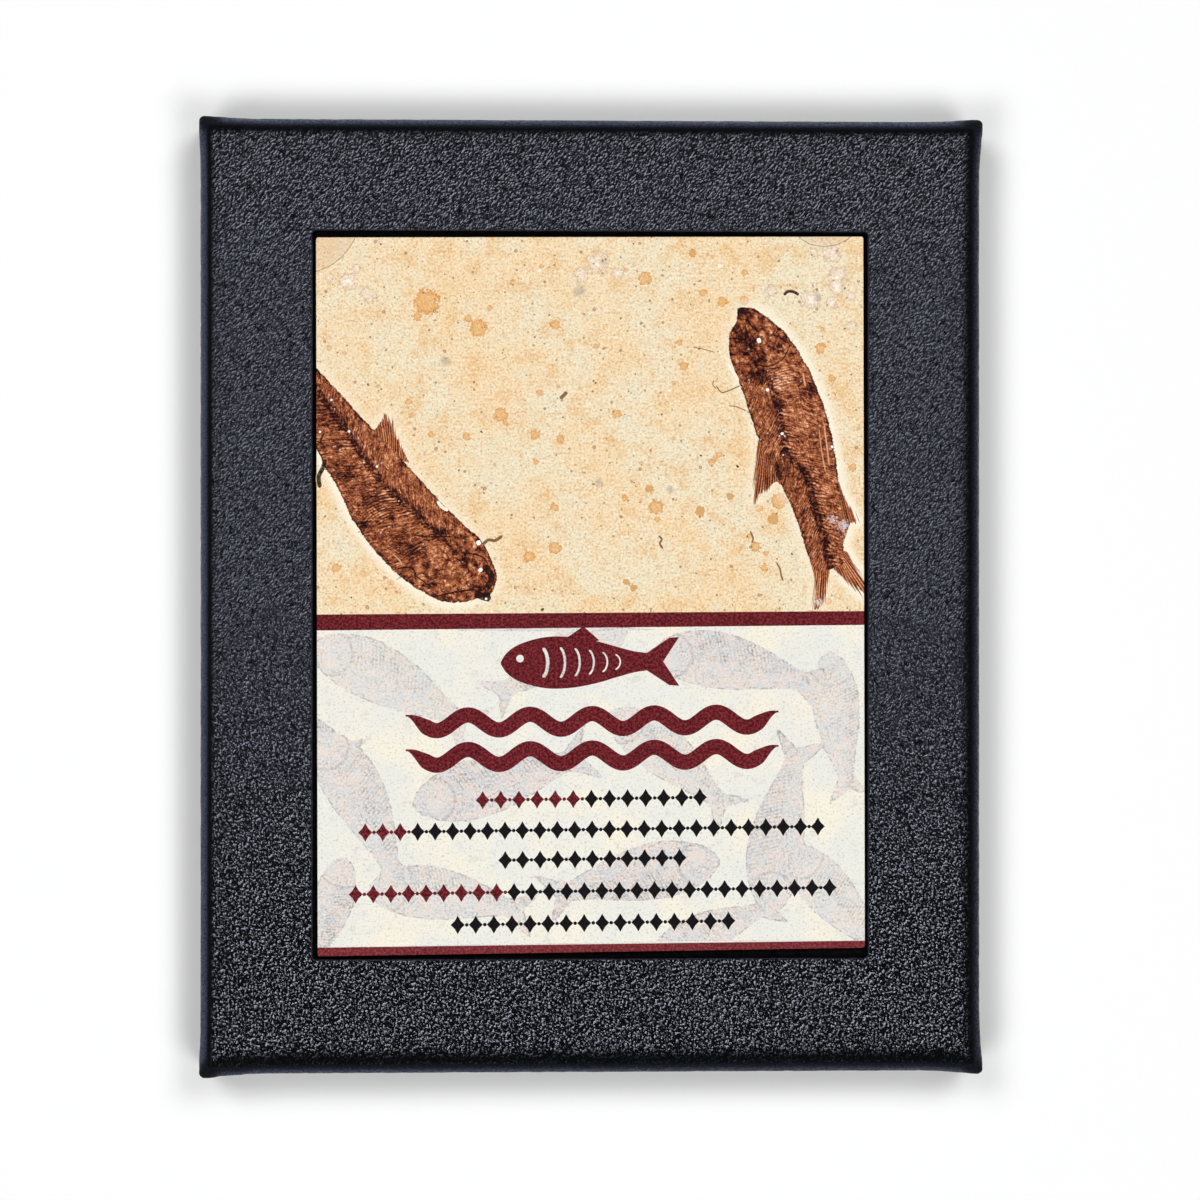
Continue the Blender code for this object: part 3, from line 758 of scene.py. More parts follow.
stoneMarks = {
    "stains": [  # x, y, radius
        (-26.7, 47.7, 2.25), (-28.1, 45.2, 0.7), (-18.2, 43.4, 1.55), (-19.9, 45.0, 0.65),
        (-5.8, 43.9, 0.85), (-14.6, 29.3, 1.25), (-13.8, 28.0, 0.45), (-8.3, 32.9, 0.6), (-9.1, 26.1, 0.9),
        (-4.9, 25.3, 0.75), (-20.2, 25.8, 0.7), (-26.0, 26.3, 0.5), (-29.6, 31.5, 0.6), (-9.0, 21.6, 0.55),
        (-6.0, 14.2, 0.7), (-10.1, 6.2, 0.95), (-5.9, 7.6, 1.1), (-41.3, 4.7, 0.75), (-32.4, 2.2, 0.5),
        (-16.4, 46.7, 0.5), (8.9, 51.3, 1.2), (16.7, 55.5, 0.7), (18.3, 49.0, 0.7), (25.1, 52.3, 0.6),
        (25.1, 47.8, 0.8), (21.5, 47.5, 0.9), (37.5, 39.9, 0.95), (37.8, 43.0, 0.42), (39.4, 35.0, 0.7),
        (4.2, 29.4, 0.85), (10.5, 14.2, 1.25), (10.8, 12.1, 0.5), (17.8, 13.4, 0.85), (9.5, 17.1, 0.72),
        (5.4, 15.7, 0.55), (27.4, 13.8, 0.7), (30.7, 15.1, 1.45), (29.7, 12.1, 1.0), (26.8, 7.6, 0.85),
        (25.8, 9.3, 0.5), (28.2, 4.1, 0.7), (28.5, 6.4, 0.5), (5.8, 2.0, 0.62), (6.9, 1.0, 0.6),
        (42.7, 20.4, 0.75), (22.7, 15.9, 0.62), (14.4, 41.0, 0.6), (15.2, 37.1, 0.75), (38.6, -1.4, 0.6),
        (20.9, 22.6, 0.6), (19.6, 21.3, 0.6), (20.2, 22.0, 0.5),
    ],
    "tanReach": 1.2,
    "tans": [  # x, y of the stains that are duller
        (16.7, 55.5), (9.5, 17.1), (17.8, 13.4), (22.7, 15.9), (29.7, 12.1), (5.8, 2.0), (6.9, 1.0),
        (-26.3, 51.4),
    ],
    "chips": [  # x, y, reach
        (-39.4, 50.9, 1.5), (-36.0, 49.0, 1.2), (-42.4, 51.6, 0.7), (-38.0, 53.2, 0.8), (1.1, 54.0, 1.8),
        (-1.5, 52.1, 1.2), (4.5, 52.2, 1.0), (39.4, 55.4, 1.5), (40.4, 51.9, 1.6), (40.2, 50.0, 1.5),
        (35.9, 48.0, 1.7), (39.4, 47.4, 1.1), (29.4, 49.3, 1.0), (42.6, 43.6, 0.9), (36.4, 55.6, 0.8),
        (42.6, 48.6, 0.8),
    ],
    "greys": [  # x, y, reach
        (-1.7, 49.4, 1.3), (-23.6, 38.1, 1.0), (1.4, 18.2, 0.9), (37.2, 48.2, 0.8), (2.0, 54.2, 0.7),
        (13.0, 17.0, 0.7),
    ],
    "arcs": [(-47.2, 62.2, 9.9), (38.3, 62.9, 6.4)],  # centre and radius of two old cracks
    "threads": [  # ink, width and path
        ("dark", 0.48, [(31.5, 48.6), (32.2, 49.2), (33.2, 49.1), (34.0, 48.6)]),
        ("brown", 0.2, [(20.4, 33.9), (21.3, 32.8), (22.6, 33.1), (24.4, 33.9)]),
        ("brown", 0.16, [(20.1, 34.8), (19.9, 34.0), (20.5, 33.4)]),
        ("brown", 0.16, [(22.5, 30.6), (23.8, 30.4), (25.4, 29.7)]),
        ("brown", 0.13, [(16.6, 40.2), (18.5, 39.8), (20.2, 39.3)]),
        ("brown", 0.32, [(11.0, 9.5), (11.5, 8.9), (11.2, 8.2), (11.7, 7.4)]),
        ("brown", 0.26, [(30.2, 5.0), (30.8, 3.9), (31.0, 2.8), (31.3, 2.0)]),
        ("brown", 0.26, [(25.9, 10.2), (26.4, 9.0), (26.2, 8.2)]),
        ("brown", 0.5, [(-17.6, 8.3), (-16.7, 9.0), (-15.6, 8.9), (-14.4, 9.7)]),
        ("brown", 0.6, [(-5.0, 31.9), (-4.4, 32.4), (-3.9, 33.0)]),
        ("dark", 0.7, [(-43.1, 22.3), (-43.5, 20.9), (-44.2, 19.4), (-44.0, 17.6)]),
        ("dark", 0.4, [(-8.2, -2.5), (-7.7, -2.2)]), ("dark", 0.32, [(23.7, 20.9), (24.1, 20.5)]),
        ("dark", 0.24, [(17.7, 22.6), (18.1, 22.4)]), ("dark", 0.22, [(-18.0, 26.7), (-17.6, 26.4)]),
        ("dark", 0.3, [(-43.2, 26.6), (-43.9, 25.2), (-43.2, 24.6)]),
        ("dark", 1.0, [(-17.5, 4.9), (-16.4, 3.6), (-16.3, 2.3), (-17.0, 1.1)]),
        ("dark", 1.2, [(-18.9, 0.5), (-17.8, -0.1), (-16.3, -0.5)]),
        ("dark", 0.28, [(-31.7, 4.4), (-29.6, 4.7), (-28.7, 4.0), (-28.6, 2.8)]),
        ("dark", 0.2, [(-28.5, 3.3), (-26.8, 2.0), (-25.6, 1.2)]),
        ("dark", 0.24, [(-21.2, 7.0), (-19.0, 6.7), (-17.6, 6.2), (-16.8, 5.2)]),
        ("dark", 0.26, [(-28.8, 9.9), (-26.8, 9.6), (-24.4, 9.6), (-22.6, 9.6)]),
        ("dark", 0.26, [(-27.5, 8.7), (-29.4, 7.9), (-31.4, 6.7)]),
        ("dark", 0.22, [(-27.4, 8.4), (-30.8, 5.9)]),
        ("dark", 0.3, [(-25.8, -0.2), (-22.0, 0.6), (-18.7, 1.0)]),
        ("dark", 0.22, [(-26.4, 8.3), (-29.8, 6.3)]),
        ("dark", 0.7, [(23.9, 46.3), (24.8, 46.0), (25.6, 45.6)]),
        ("dark", 0.3, [(25.4, 45.2), (26.2, 43.6), (27.6, 42.6)]),
        ("dark", 0.22, [(26.6, 37.4), (29.0, 37.0), (31.2, 38.1), (32.2, 39.6)]),
        ("light", 0.2, [(-32.3, 6.9), (-31.2, 5.9), (-30.7, 5.0)]),
        ("light", 0.24, [(38.0, 27.6), (38.5, 24.0), (38.9, 20.6)]),
        ("light", 0.16, [(37.2, 26.8), (37.7, 22.8), (38.3, 19.6)]),
        ("light", 0.3, [(34.6, 36.0), (35.0, 33.6)]),
        ("white", 0.75, [(-18.5, 8.9), (-18.1, 8.2)]), ("white", 0.7, [(-18.2, 4.4), (-17.8, 3.9)]),
        ("white", 0.35, [(-17.3, -0.5), (-16.9, -0.6)]), ("white", 0.4, [(-34.9, 21.2), (-34.6, 20.9)]),
        ("white", 0.4, [(-39.4, 26.9), (-39.1, 26.6)]), ("white", 0.4, [(-44.1, 26.8), (-43.8, 26.6)]),
        ("white", 0.34, [(-42.2, 32.0), (-42.0, 31.7)]), ("white", 0.8, [(27.1, 41.1), (27.8, 41.3)]),
        ("white", 0.5, [(28.7, 32.9), (28.9, 33.4)]), ("white", 0.5, [(31.1, 26.2), (31.3, 25.8)]),
        ("bare", 0.5, [(-25.0, 15.4), (-24.2, 14.4), (-23.2, 13.8)]),
        ("bare", 0.5, [(22.4, 37.5), (23.3, 36.0), (24.1, 34.6)]),
        ("white", 0.4, [(39.2, 24.0), (39.5, 23.6)]), ("white", 0.3, [(-18.4, 17.6), (-18.1, 17.5)]),
    ],
}


def bell(points, x, y, reach):  # 1 at a place, fading away from it
    return np.exp(-((points[:, 0] - x) ** 2 + (points[:, 1] - y) ** 2) / reach ** 2)


def fossilFields(points):
    fields = {name: np.zeros(len(points)) for name in (
        "along", "across", "ray", "patch", "whitened", "arch", "archShare", "spine", "tan", "chip", "grey",
    )}
    for name, outside in (("fishEdge", -9.0), ("finEdge", -9.0), ("stain", -1.0)):
        fields[name] = np.full(len(points), outside)
    for fish in fossils:
        spine, outline = bodyOutline(fish["stations"])
        edge = depthInside(points, outline)
        away, along, side = nearest(points, spine)
        near = closer = edge > fields["fishEdge"]
        fields["fishEdge"][closer] = edge[closer]
        fields["along"][closer] = along[closer]
        fields["across"][closer] = (away * side)[closer]
        for outline, pole in fish["fins"]:
            edge = depthInside(points, smoothLine(outline + outline[:1], 5)[:-1])
            closer = edge > fields["finEdge"]
            fields["finEdge"][closer] = edge[closer]
            gone = points - np.array(pole)
            angle = np.arctan2(gone[:, 1], gone[:, 0])
            reach = np.hypot(*(np.array(outline).mean(axis=0) - np.array(pole)))
            fields["ray"][closer] = (angle * reach)[closer]
        runs, offsets = zip(*fish["spine"])
        fields["spine"] = np.where(near, (away * side) - np.interp(along, runs, offsets), fields["spine"])
        middleX, middleY, shownX, shownY, reach = fish["arches"]
        fields["arch"] = np.where(near, np.hypot(*(points - (middleX, middleY)).T), fields["arch"])
        fields["archShare"] += bell(points, shownX, shownY, reach)
        for x, y, reach, strength in fish["patches"]:
            fields["patch"] += strength * bell(points, x, y, reach)
        for x, y, reach in fish["whitened"]:
            fields["whitened"] = np.maximum(fields["whitened"], bell(points, x, y, reach))
    for x, y, radius in stoneMarks["stains"]:
        fields["stain"] = np.maximum(fields["stain"], 1 - np.hypot(*(points - (x, y)).T) / radius)
    for x, y in stoneMarks["tans"]:
        fields["tan"] = np.maximum(fields["tan"], bell(points, x, y, stoneMarks["tanReach"]))
    for name in ("chip", "grey"):
        for x, y, reach in stoneMarks[name + "s"]:
            fields[name] = np.maximum(fields[name], bell(points, x, y, reach))
    return fields


ghosts = {  # pale fish printed behind the label: x, y of the middle, length, heading in degrees, bend
    "fish": [
        (-31.5, -14.5, 31.0, 152, 0.5), (-6.0, -10.5, 26.0, 28, -0.6), (24.5, -12.0, 30.0, 168, 0.6),
        (40.0, -22.0, 25.0, 98, -0.4), (-37.0, -34.5, 30.0, 118, 0.7), (-14.0, -30.5, 31.0, 196, -0.5),
        (13.5, -27.5, 27.0, 140, 0.4), (31.0, -37.5, 30.0, 260, 0.5), (6.0, -45.5, 30.0, 12, -0.7),
        (-22.5, -49.0, 28.0, 171, 0.5), (-43.5, -52.5, 22.0, 70, 0.3), (40.5, -51.5, 26.0, 132, -0.5),
        (20.0, -55.0, 24.0, 205, 0.4), (-46.0, -22.0, 20.0, 160, 0.2),
    ],
    "form": [  # share of the length, share of the half depth
        (0.0, 0.06), (0.03, 0.36), (0.08, 0.62), (0.16, 0.84), (0.28, 1.0), (0.42, 0.98), (0.56, 0.82),
        (0.68, 0.6), (0.78, 0.42), (0.86, 0.34),
    ],
    "depth": 0.155,  # half depth over length
}


def ghostShape(x, y, length, heading, bend):
    angle = math.radians(heading)
    forward = np.array([math.cos(angle), math.sin(angle)])
    aside = np.array([-forward[1], forward[0]])
    stations = []
    for share, deep in ghosts["form"]:
        bow = bend * length * 0.25 * (share - 0.5) ** 2
        centre = np.array([x, y]) + forward * (0.5 - share) * length + aside * bow
        half = deep * ghosts["depth"] * length
        stations.append((*centre, half * 0.92, half * 1.08))
    spine, body = bodyOutline(stations, 5)
    end = spine[-1]
    back = spine[-1] - spine[-4]
    back /= np.linalg.norm(back)
    across = np.array([-back[1], back[0]])
    root = 0.34 * ghosts["depth"] * length
    tail = [  # two lobes with a notch between them
        end - back * 0.03 * length + across * root, end + back * 0.15 * length + across * root * 3.1,
        end + back * 0.055 * length + across * root * 0.2, end + back * 0.14 * length - across * root * 3.0,
        end - back * 0.03 * length - across * root,
    ]
    return spine, body, np.array(tail)


def ghostFields(points):
    edge, along, across, kind = (np.full(len(points), value) for value in (-9.0, 0.0, 0.0, 0.0))
    for number, facts in enumerate(ghosts["fish"]):
        spine, body, tail = ghostShape(*facts)
        near = np.hypot(points[:, 0] - facts[0], points[:, 1] - facts[1]) < facts[2] * 0.75
        if not near.any():
            continue
        some = points[near]
        depth = np.maximum(depthInside(some, body), depthInside(some, tail))
        away, run, side = nearest(some, spine)
        free = edge[near] < 0.0  # an earlier fish lies over a later one
        better = free & (depth > edge[near])
        index = np.flatnonzero(near)[better]
        edge[index] = depth[better]
        along[index] = run[better] / facts[2] * 30.0
        across[index] = (away * side)[better]
        kind[index] = number * 0.37 % 1.0
    return {"ghostEdge": edge, "ghostAlong": along, "ghostAcross": across, "ghostKind": kind}


def roundedBlock(x, y, width, height, radius=0.25, steps=4):
    corners = []
    for quarter in range(4):
        signX = (1, -1, -1, 1)[quarter]
        signY = (1, 1, -1, -1)[quarter]
        centreX = x + signX * (width / 2 - radius)
        centreY = y + signY * (height / 2 - radius)
        for step in range(steps + 1):
            angle = math.pi / 2 * (quarter + step / steps)
            corners.append((centreX + radius * math.cos(angle), centreY + radius * math.sin(angle)))
    return corners


label = {  # generic marks where the label carries its print: a fish, two ripples and five rows of lozenges
    "crest": {
        "middle": (-0.2, -11.0), "length": 29.0, "height": 8.4, "tail": 6.4,
        "ribs": [  # behind the nose, half height, thickness
            (6.4, 2.5, 0.55), (9.2, 2.6, 0.4), (11.6, 2.4, 0.36), (13.9, 2.1, 0.32), (16.1, 1.7, 0.28),
            (18.2, 1.3, 0.24),
        ],
    },
    "ripples": {
        "heights": (-20.6, -26.2), "left": -30.2, "right": 30.5, "wave": 10.1, "swing": 1.25, "thick": 2.5,
    },
    "lines": [  # height, left end, right end, length of the maroon lead
        (-33.2, -19.2, 19.1, 18.3), (-38.2, -38.2, 38.3, 9.9), (-43.0, -15.5, 15.7, 0.0),
        (-48.2, -39.8, 40.2, 26.8), (-53.4, -23.3, 23.7, 0.0),
    ],
    "pitch": 2.85, "lozenge": (2.3, 3.0), "bow": 0.1, "bead": 0.6,
}


def bent(points, width):  # a band of one width, rounded off at both ends
    line = np.array(points)
    heading = np.gradient(line, axis=0)
    heading /= np.linalg.norm(heading, axis=1)[:, None]
    aside = np.column_stack([-heading[:, 1], heading[:, 0]])
    share = np.linspace(0, 1, len(line))
    half = width / 2 * np.clip(np.sin(math.pi * share) * 6, 0.12, 1)[:, None]
    return [tuple(point) for point in np.vstack([line - aside * half, (line + aside * half)[::-1]])]


def oval(x, y, width, height, steps=18):
    turns = np.linspace(0, 2 * math.pi, steps + 1)[:-1]
    return [(x + width / 2 * math.cos(turn), y + height / 2 * math.sin(turn)) for turn in turns]


def lozenge(x, y, width, height):  # four sides that bow in a little
    bow = label["bow"]
    places = []
    for turn in range(4):
        angle = math.pi / 2 * turn
        side = angle + math.pi / 4
        places.append((x + width / 2 * math.cos(angle), y + height / 2 * math.sin(angle)))
        inward = math.sqrt(0.5) - bow
        places.append((x + width / 2 * inward * math.cos(side), y + height / 2 * inward * math.sin(side)))
    return places


def crestFish():  # outlines and inks: body, tail, fin, eye and ribs
    crest = label["crest"]
    middle = np.array(crest["middle"])
    bodyLength = crest["length"] - crest["tail"] * 0.55
    nose = middle[0] - crest["length"] / 2
    stations = []
    for share, deep in ghosts["form"]:
        half = deep * crest["height"] / 2
        stations.append((nose + share * bodyLength * 1.08, middle[1], half, half))
    _, body = bodyOutline(stations, 6)
    root = nose + bodyLength * 0.9
    tip = nose + crest["length"]
    spread = crest["height"] * 0.46
    half = [(root, 0.9), (tip - 1.6, spread), (tip, spread + 0.1), (tip - 2.6, 0.0)]
    fork = half + [(x, -y) for x, y in half[-2::-1]]
    finTop = middle[1] + crest["height"] * 0.47
    fin = [(10.6, 0.0), (13.4, 1.9), (16.0, -0.4), (13.0, -1.2)]
    shapes = [
        ([tuple(point) for point in body], "maroon"),
        ([(x, middle[1] + y) for x, y in fork], "maroon"),
        ([(nose + x, finTop + y) for x, y in fin], "maroon"),
        (oval(nose + 3.1, middle[1] + 0.7, 1.24, 1.24), "paper"),
    ]
    for start, reach, depth in crest["ribs"]:
        turns = np.linspace(-1.25, 1.25, 17)
        arc = np.column_stack([nose + start + 1.2 * np.cos(turns), middle[1] + reach * np.sin(turns)])
        shapes.append((bent(arc, depth), "paper"))
    return shapes


def ripple(height):
    ripples = label["ripples"]
    across = np.linspace(ripples["left"], ripples["right"], 145)
    lift = ripples["swing"] * np.cos((across - ripples["left"]) / ripples["wave"] * 2 * math.pi)
    return bent(np.column_stack([across, height + lift]), ripples["thick"])


def lozengeRow(height, left, right, lead):  # with a bead between each two
    shapes = []
    count = round((right - left) / label["pitch"])
    step = (right - left) / count
    for number in range(count):
        x = left + step * (number + 0.5)
        tint = "maroon" if x < left + lead else "dark"
        shapes.append((lozenge(x, height, *label["lozenge"]), tint))
        if number < count - 1:
            shapes.append((oval(x + step / 2, height, label["bead"], label["bead"], 10), tint))
    return shapes


def printedShapes():  # everything on the sheet that has an outline and one ink
    shapes = crestFish()
    shapes += [(ripple(height), "maroon") for height in label["ripples"]["heights"]]
    for row in label["lines"]:
        shapes += lozengeRow(*row)
    for tint, width, path in stoneMarks["threads"]:
        shapes.append((bent(smoothLine(path, 6), width), tint))
    return shapes


def cardOutline():  # anticlockwise, with a point wherever a bar meets the edge
    halfX, halfY = card["width"] / 2 - card["bevel"], card["height"] / 2 - card["bevel"]
    points = [np.array(point) for point in roundedBlock(0, 0, 2 * halfX, 2 * halfY, card["corner"])]
    dense = []
    for start, end in zip(points, points[1:] + points[:1]):
        dense.append(tuple(start))
        length = np.linalg.norm(end - start)
        pieces = max(1, round(length / card["edgeStep"]))
        for step in range(1, pieces):
            dense.append(tuple(start + (end - start) * step / pieces))
    for heights in card["bars"]:
        for side, height in zip((-1, 1), heights):
            corner = (side * halfX, height)
            near = min(range(len(dense)), key=lambda index: math.dist(dense[index], corner))
            dense[near] = corner
    return dense


def cardMesh():
    outline = cardOutline()
    halfX, halfY = card["width"] / 2 - card["bevel"], card["height"] / 2 - card["bevel"]
    points = list(outline)
    faces = [list(range(len(outline)))]
    edges = []
    for left, right in card["bars"]:
        edges.append((outline.index((-halfX, left)), outline.index((halfX, right))))
    shapes = printedShapes()
    for shape, _ in shapes:
        turned = sum(x0 * y1 - x1 * y0 for (x0, y0), (x1, y1) in zip(shape, shape[1:] + shape[:1]))
        shape = shape if turned > 0 else shape[::-1]  # anticlockwise
        faces.append(list(range(len(points), len(points) + len(shape))))
        points.extend(shape)
    split = min(card["bars"][1])
    for low, high, spacing in ((-halfY, split, card["coarse"]), (split, halfY, card["fine"])):
        countX = round(2 * halfX / spacing)
        countY = round((high - low) / spacing)
        for stepX in range(1, countX):
            for stepY in range(1, countY):
                points.append((-halfX + 2 * halfX * stepX / countX, low + (high - low) * stepY / countY))
    insideOnly, tolerance = 1, 1e-5
    places = [tuple(map(float, point)) for point in points]
    result = delaunay_2d_cdt(places, edges, faces, insideOnly, tolerance)
    flat, triangles, owners = np.array([tuple(place) for place in result[0]]), result[2], result[5]
    inkOf = [None] + [tint for _, tint in shapes]
    numbers = {name: number for number, name in enumerate(card["threadInks"], 1)}
    names, threads = [], []
    for triangle, owner in zip(triangles, owners):
        name = card["fields"][barsOver(*np.mean(flat[list(triangle)], axis=0))]
        tint = inkOf[max(owner)]
        threads.append(numbers.get(tint, 0) if name == "stone" else 0)
        names.append(tint if tint and name != "stone" else name)
    return flat, [list(triangle) for triangle in triangles], names, threads


def spots(place, spacing, radius, share):  # filled spots of many sizes, 1 inside, and their rims
    facts = {"Vector": warped(place, spacing * 0.35, spacing * 0.12), "Scale": 1.0 / spacing}
    away = made("ShaderNodeTexVoronoi", facts, "Distance")
    pick = shares(Value(away.socket.node.outputs["Color"]))
    crowd = fade(noiseAt(place, spacing * 3.2, 1.0), 0.36, 0.64)
    chosen = calc("LESS_THAN", pick[0], (0.35 + crowd * 1.3) * share)
    size = (pick[1] * 0.5 + 0.5) * (radius / spacing)
    depth = (size - away) / size
    inside = fade(depth, -0.12, 0.16) * chosen
    return inside, fade(depth, 0.55, 0.15) * inside


def ramp(value, stops):  # position and colour, in rising order
    colour = made("ShaderNodeValToRGB", {"Fac": value})
    blend = colour.socket.node.color_ramp
    blend.elements[0].position, blend.elements[0].color = stops[0][0], ink(*stops[0][1])
    blend.elements[1].position, blend.elements[1].color = stops[-1][0], ink(*stops[-1][1])
    for position, tint in stops[1:-1]:
        blend.elements.new(position).color = ink(*tint)
    return colour


def lines(phase, apart, sharp):  # 1 on each line
    return fade(calc("PINGPONG", phase / apart, 0.5), sharp, 0.0)


def newPrint(name):  # a material whose place is the one on the flat sheet
    material, shader, place = newMaterial(name)
    return material, shader, fieldOf(place, "sheet", "Vector")


def layered(colour, *layers):  # of each: noise, where it starts and is full, strength, tint
    for noise, low, high, strength, tint in layers:
        colour = mixColour(fade(noise, low, high) * strength, colour, tint)
    return colour


def stoneColour(place):
    broad = noiseAt(place, 14.0, 2.0, 0.5)
    middle = noiseAt(warped(place, 6.0, 3.0), 4.4, 4.0, 0.62)
    fine = noiseAt(place, 1.3, 4.0, 0.7)
    grit = noiseAt(place, 0.4, 3.0, 0.75)
    return layered(
        mixColour(fade(broad, 0.36, 0.62), (240, 227, 196), (245, 217, 174)),
        (middle, 0.47, 0.7, 0.7, (234, 190, 130)), (middle, 0.45, 0.3, 0.55, (228, 224, 200)),
        (fine, 0.5, 0.72, 0.5, (218, 170, 112)), (fine, 0.47, 0.28, 0.5, (252, 238, 210)),
        (grit, 0.51, 0.68, 0.8, (198, 150, 98)), (grit, 0.49, 0.34, 0.7, (255, 245, 224)),
    ), grit


def stoneMarking(colour, place, grit):  # chips, stains, spots and arcs
    ragged = swing(noiseAt(place, 1.1, 4.0, 0.7), 2.0)
    chip = fieldOf(place, "chip") + ragged
    inside = fade(chip, 0.4, 0.48) * fade(fieldOf(place, "chip"), 0.1, 0.26)
    rim = inside * fade(chip, 0.6, 0.46)
    flake = mixColour(fade(grit, 0.38, 0.58), (251, 238, 218), (230, 205, 178))
    colour = mixColour(inside * 0.85, colour, flake)
    colour = mixColour(rim * 0.55, colour, (158, 120, 92))
    colour = mixColour(fade(chip, 0.9, 1.1) * inside * 0.8, colour, (255, 248, 242))
    grey = fade(fieldOf(place, "grey") + ragged, 0.25, 0.9) * 0.5
    colour = mixColour(grey * fade(fieldOf(place, "grey"), 0.08, 0.4), colour, (158, 148, 138))
    stain = fieldOf(place, "stain") + swing(noiseAt(place, 0.8, 4.0, 0.7), 1.7)
    body = fade(stain, -0.02, 0.2)
    edge = body * fade(stain, 0.46, 0.14)
    dotted = fade(noiseAt(place, 0.3, 3.0, 0.7), 0.4, 0.58)
    colour = mixColour(body * (0.34 + dotted * 0.5), colour, (228, 164, 78))
    colour = mixColour(edge * (0.3 + dotted * 0.6), colour, (204, 130, 52))
    colour = mixColour(body * fieldOf(place, "tan") * 0.7, colour, (206, 158, 98))
    for spacing, radius, share, tint, strength in (
        (4.8, 0.7, 0.2, (224, 168, 98), 0.55), (2.7, 0.45, 0.3, (204, 142, 78), 0.62),
        (1.6, 0.3, 0.3, (142, 90, 46), 0.8), (1.2, 0.2, 0.34, (92, 62, 40), 0.85),
        (2.3, 0.2, 0.3, (34, 26, 22), 1.0), (4.2, 0.36, 0.12, (255, 252, 246), 0.9),
    ):
        spot, ring = spots(place, spacing, radius, share)
        colour = mixColour((spot * 0.62 + ring * 0.38) * strength, colour, tint)
    for x, y, radius in stoneMarks["arcs"]:
        away = vectors("DISTANCE", warped(place, 2.2, 0.5), (x, y, 0.0), "Value")
        line = fade(abs(away - radius), 0.13, 0.03)
        colour = mixColour(line * 0.6, colour, (112, 78, 52))
        colour = mixColour(fade(away, radius, radius - 0.4) * 0.35, colour, (218, 180, 148))
    return colour


def bodyTone(place, along, across):  # light and dark of the fossil's bones and skin
    spine = fieldOf(place, "spine") + swing(noiseAt(place, 2.2, 2.0), 0.9)
    wide = abs(spine)
    belly = fade(spine, -0.3, 0.3)
    sweep = wide * mixValue(belly, 1.15, 0.6)
    phase = along - sweep + swing(noiseAt(place, 2.4, 3.0), 1.3)
    rough = noiseAt(place, 1.1, 3.0, 0.6)
    blotch = noiseAt(place, 2.1, 4.0, 0.65)
    dust = noiseAt(place, 0.4, 3.0, 0.8)
    streak = noiseAt(placeOf(phase * 2.6, wide * 0.6), 1.0, 4.0, 0.8)
    fibre = noiseAt(placeOf(along * 0.45, across * 3.0, 4.0), 1.0, 4.0, 0.7)
    head = fade(along, 13.5, 9.5)
    tone = 0.49 + fieldOf(place, "patch") + swing(fibre, 0.75) + swing(dust, 1.25)
    tone += swing(streak, 2.1) * mixValue(head, 1.0, 0.35)
    tone += swing(rough, 1.1) * mixValue(head, 0.6, 1.4)
    seams = fade(abs(noiseAt(warped(place, 1.6, 0.9), 1.7, 1.0) - 0.5), 0.05, 0.012)
    tone -= seams * mixValue(head, 0.35, 0.7) * 0.3
    nearSpine = fade(wide, 3.4, 0.6) * (1.0 - head)
    bones = (lines(phase, 0.62, 0.34) - 0.45) * nearSpine * fade(blotch, 0.36, 0.6)
    tone -= bones * mixValue(belly, 0.24, 0.42)
    arch = fieldOf(place, "arch") + swing(noiseAt(place, 2.0, 2.0), 0.5)
    ribs = (lines(arch, 0.44, 0.4) - 0.5) * fieldOf(place, "archShare") * fade(rough, 0.3, 0.5)
    cord = fade(wide, 0.95, 0.25) * (1.0 - head)
    clots = fade(noiseAt(place, 0.62, 2.0, 0.6), 0.42, 0.56)
    tone -= ribs * 0.45 + cord * (0.06 + clots * 0.4) + fade(blotch, 0.52, 0.7) * 0.15
    return tone, fade(blotch, 0.54, 0.68) + cord * 0.5, dust, cord


def stonePrint(name, withFish):
    material, shader, place = newPrint(name)
    colour, grit = stoneColour(place)
    colour = stoneMarking(colour, place, grit)
    if withFish:
        colour = fishColour(colour, place)
    thread = fieldOf(place, "thread")
    broken = 0.85 + fade(noiseAt(place, 0.4, 3.0, 0.8), 0.62, 0.42) * 0.15
    for number, (strand, tint) in enumerate(card["threadInks"].items(), 1):
        here = calc("COMPARE", thread, float(number), 0.4)
        share = here if strand in ("white", "bare") else here * broken
        colour = mixColour(share, colour, tint)
    finish(shader, colour, place, 0.012, 0.55, 0.05)
    return material


fossilTones = [  # from the darkest tone to the lightest
    (0.0, (26, 10, 12)), (0.2, (70, 32, 25)), (0.42, (134, 71, 45)), (0.6, (182, 108, 70)),
    (0.8, (222, 156, 112)), (1.0, (246, 214, 184)),
]


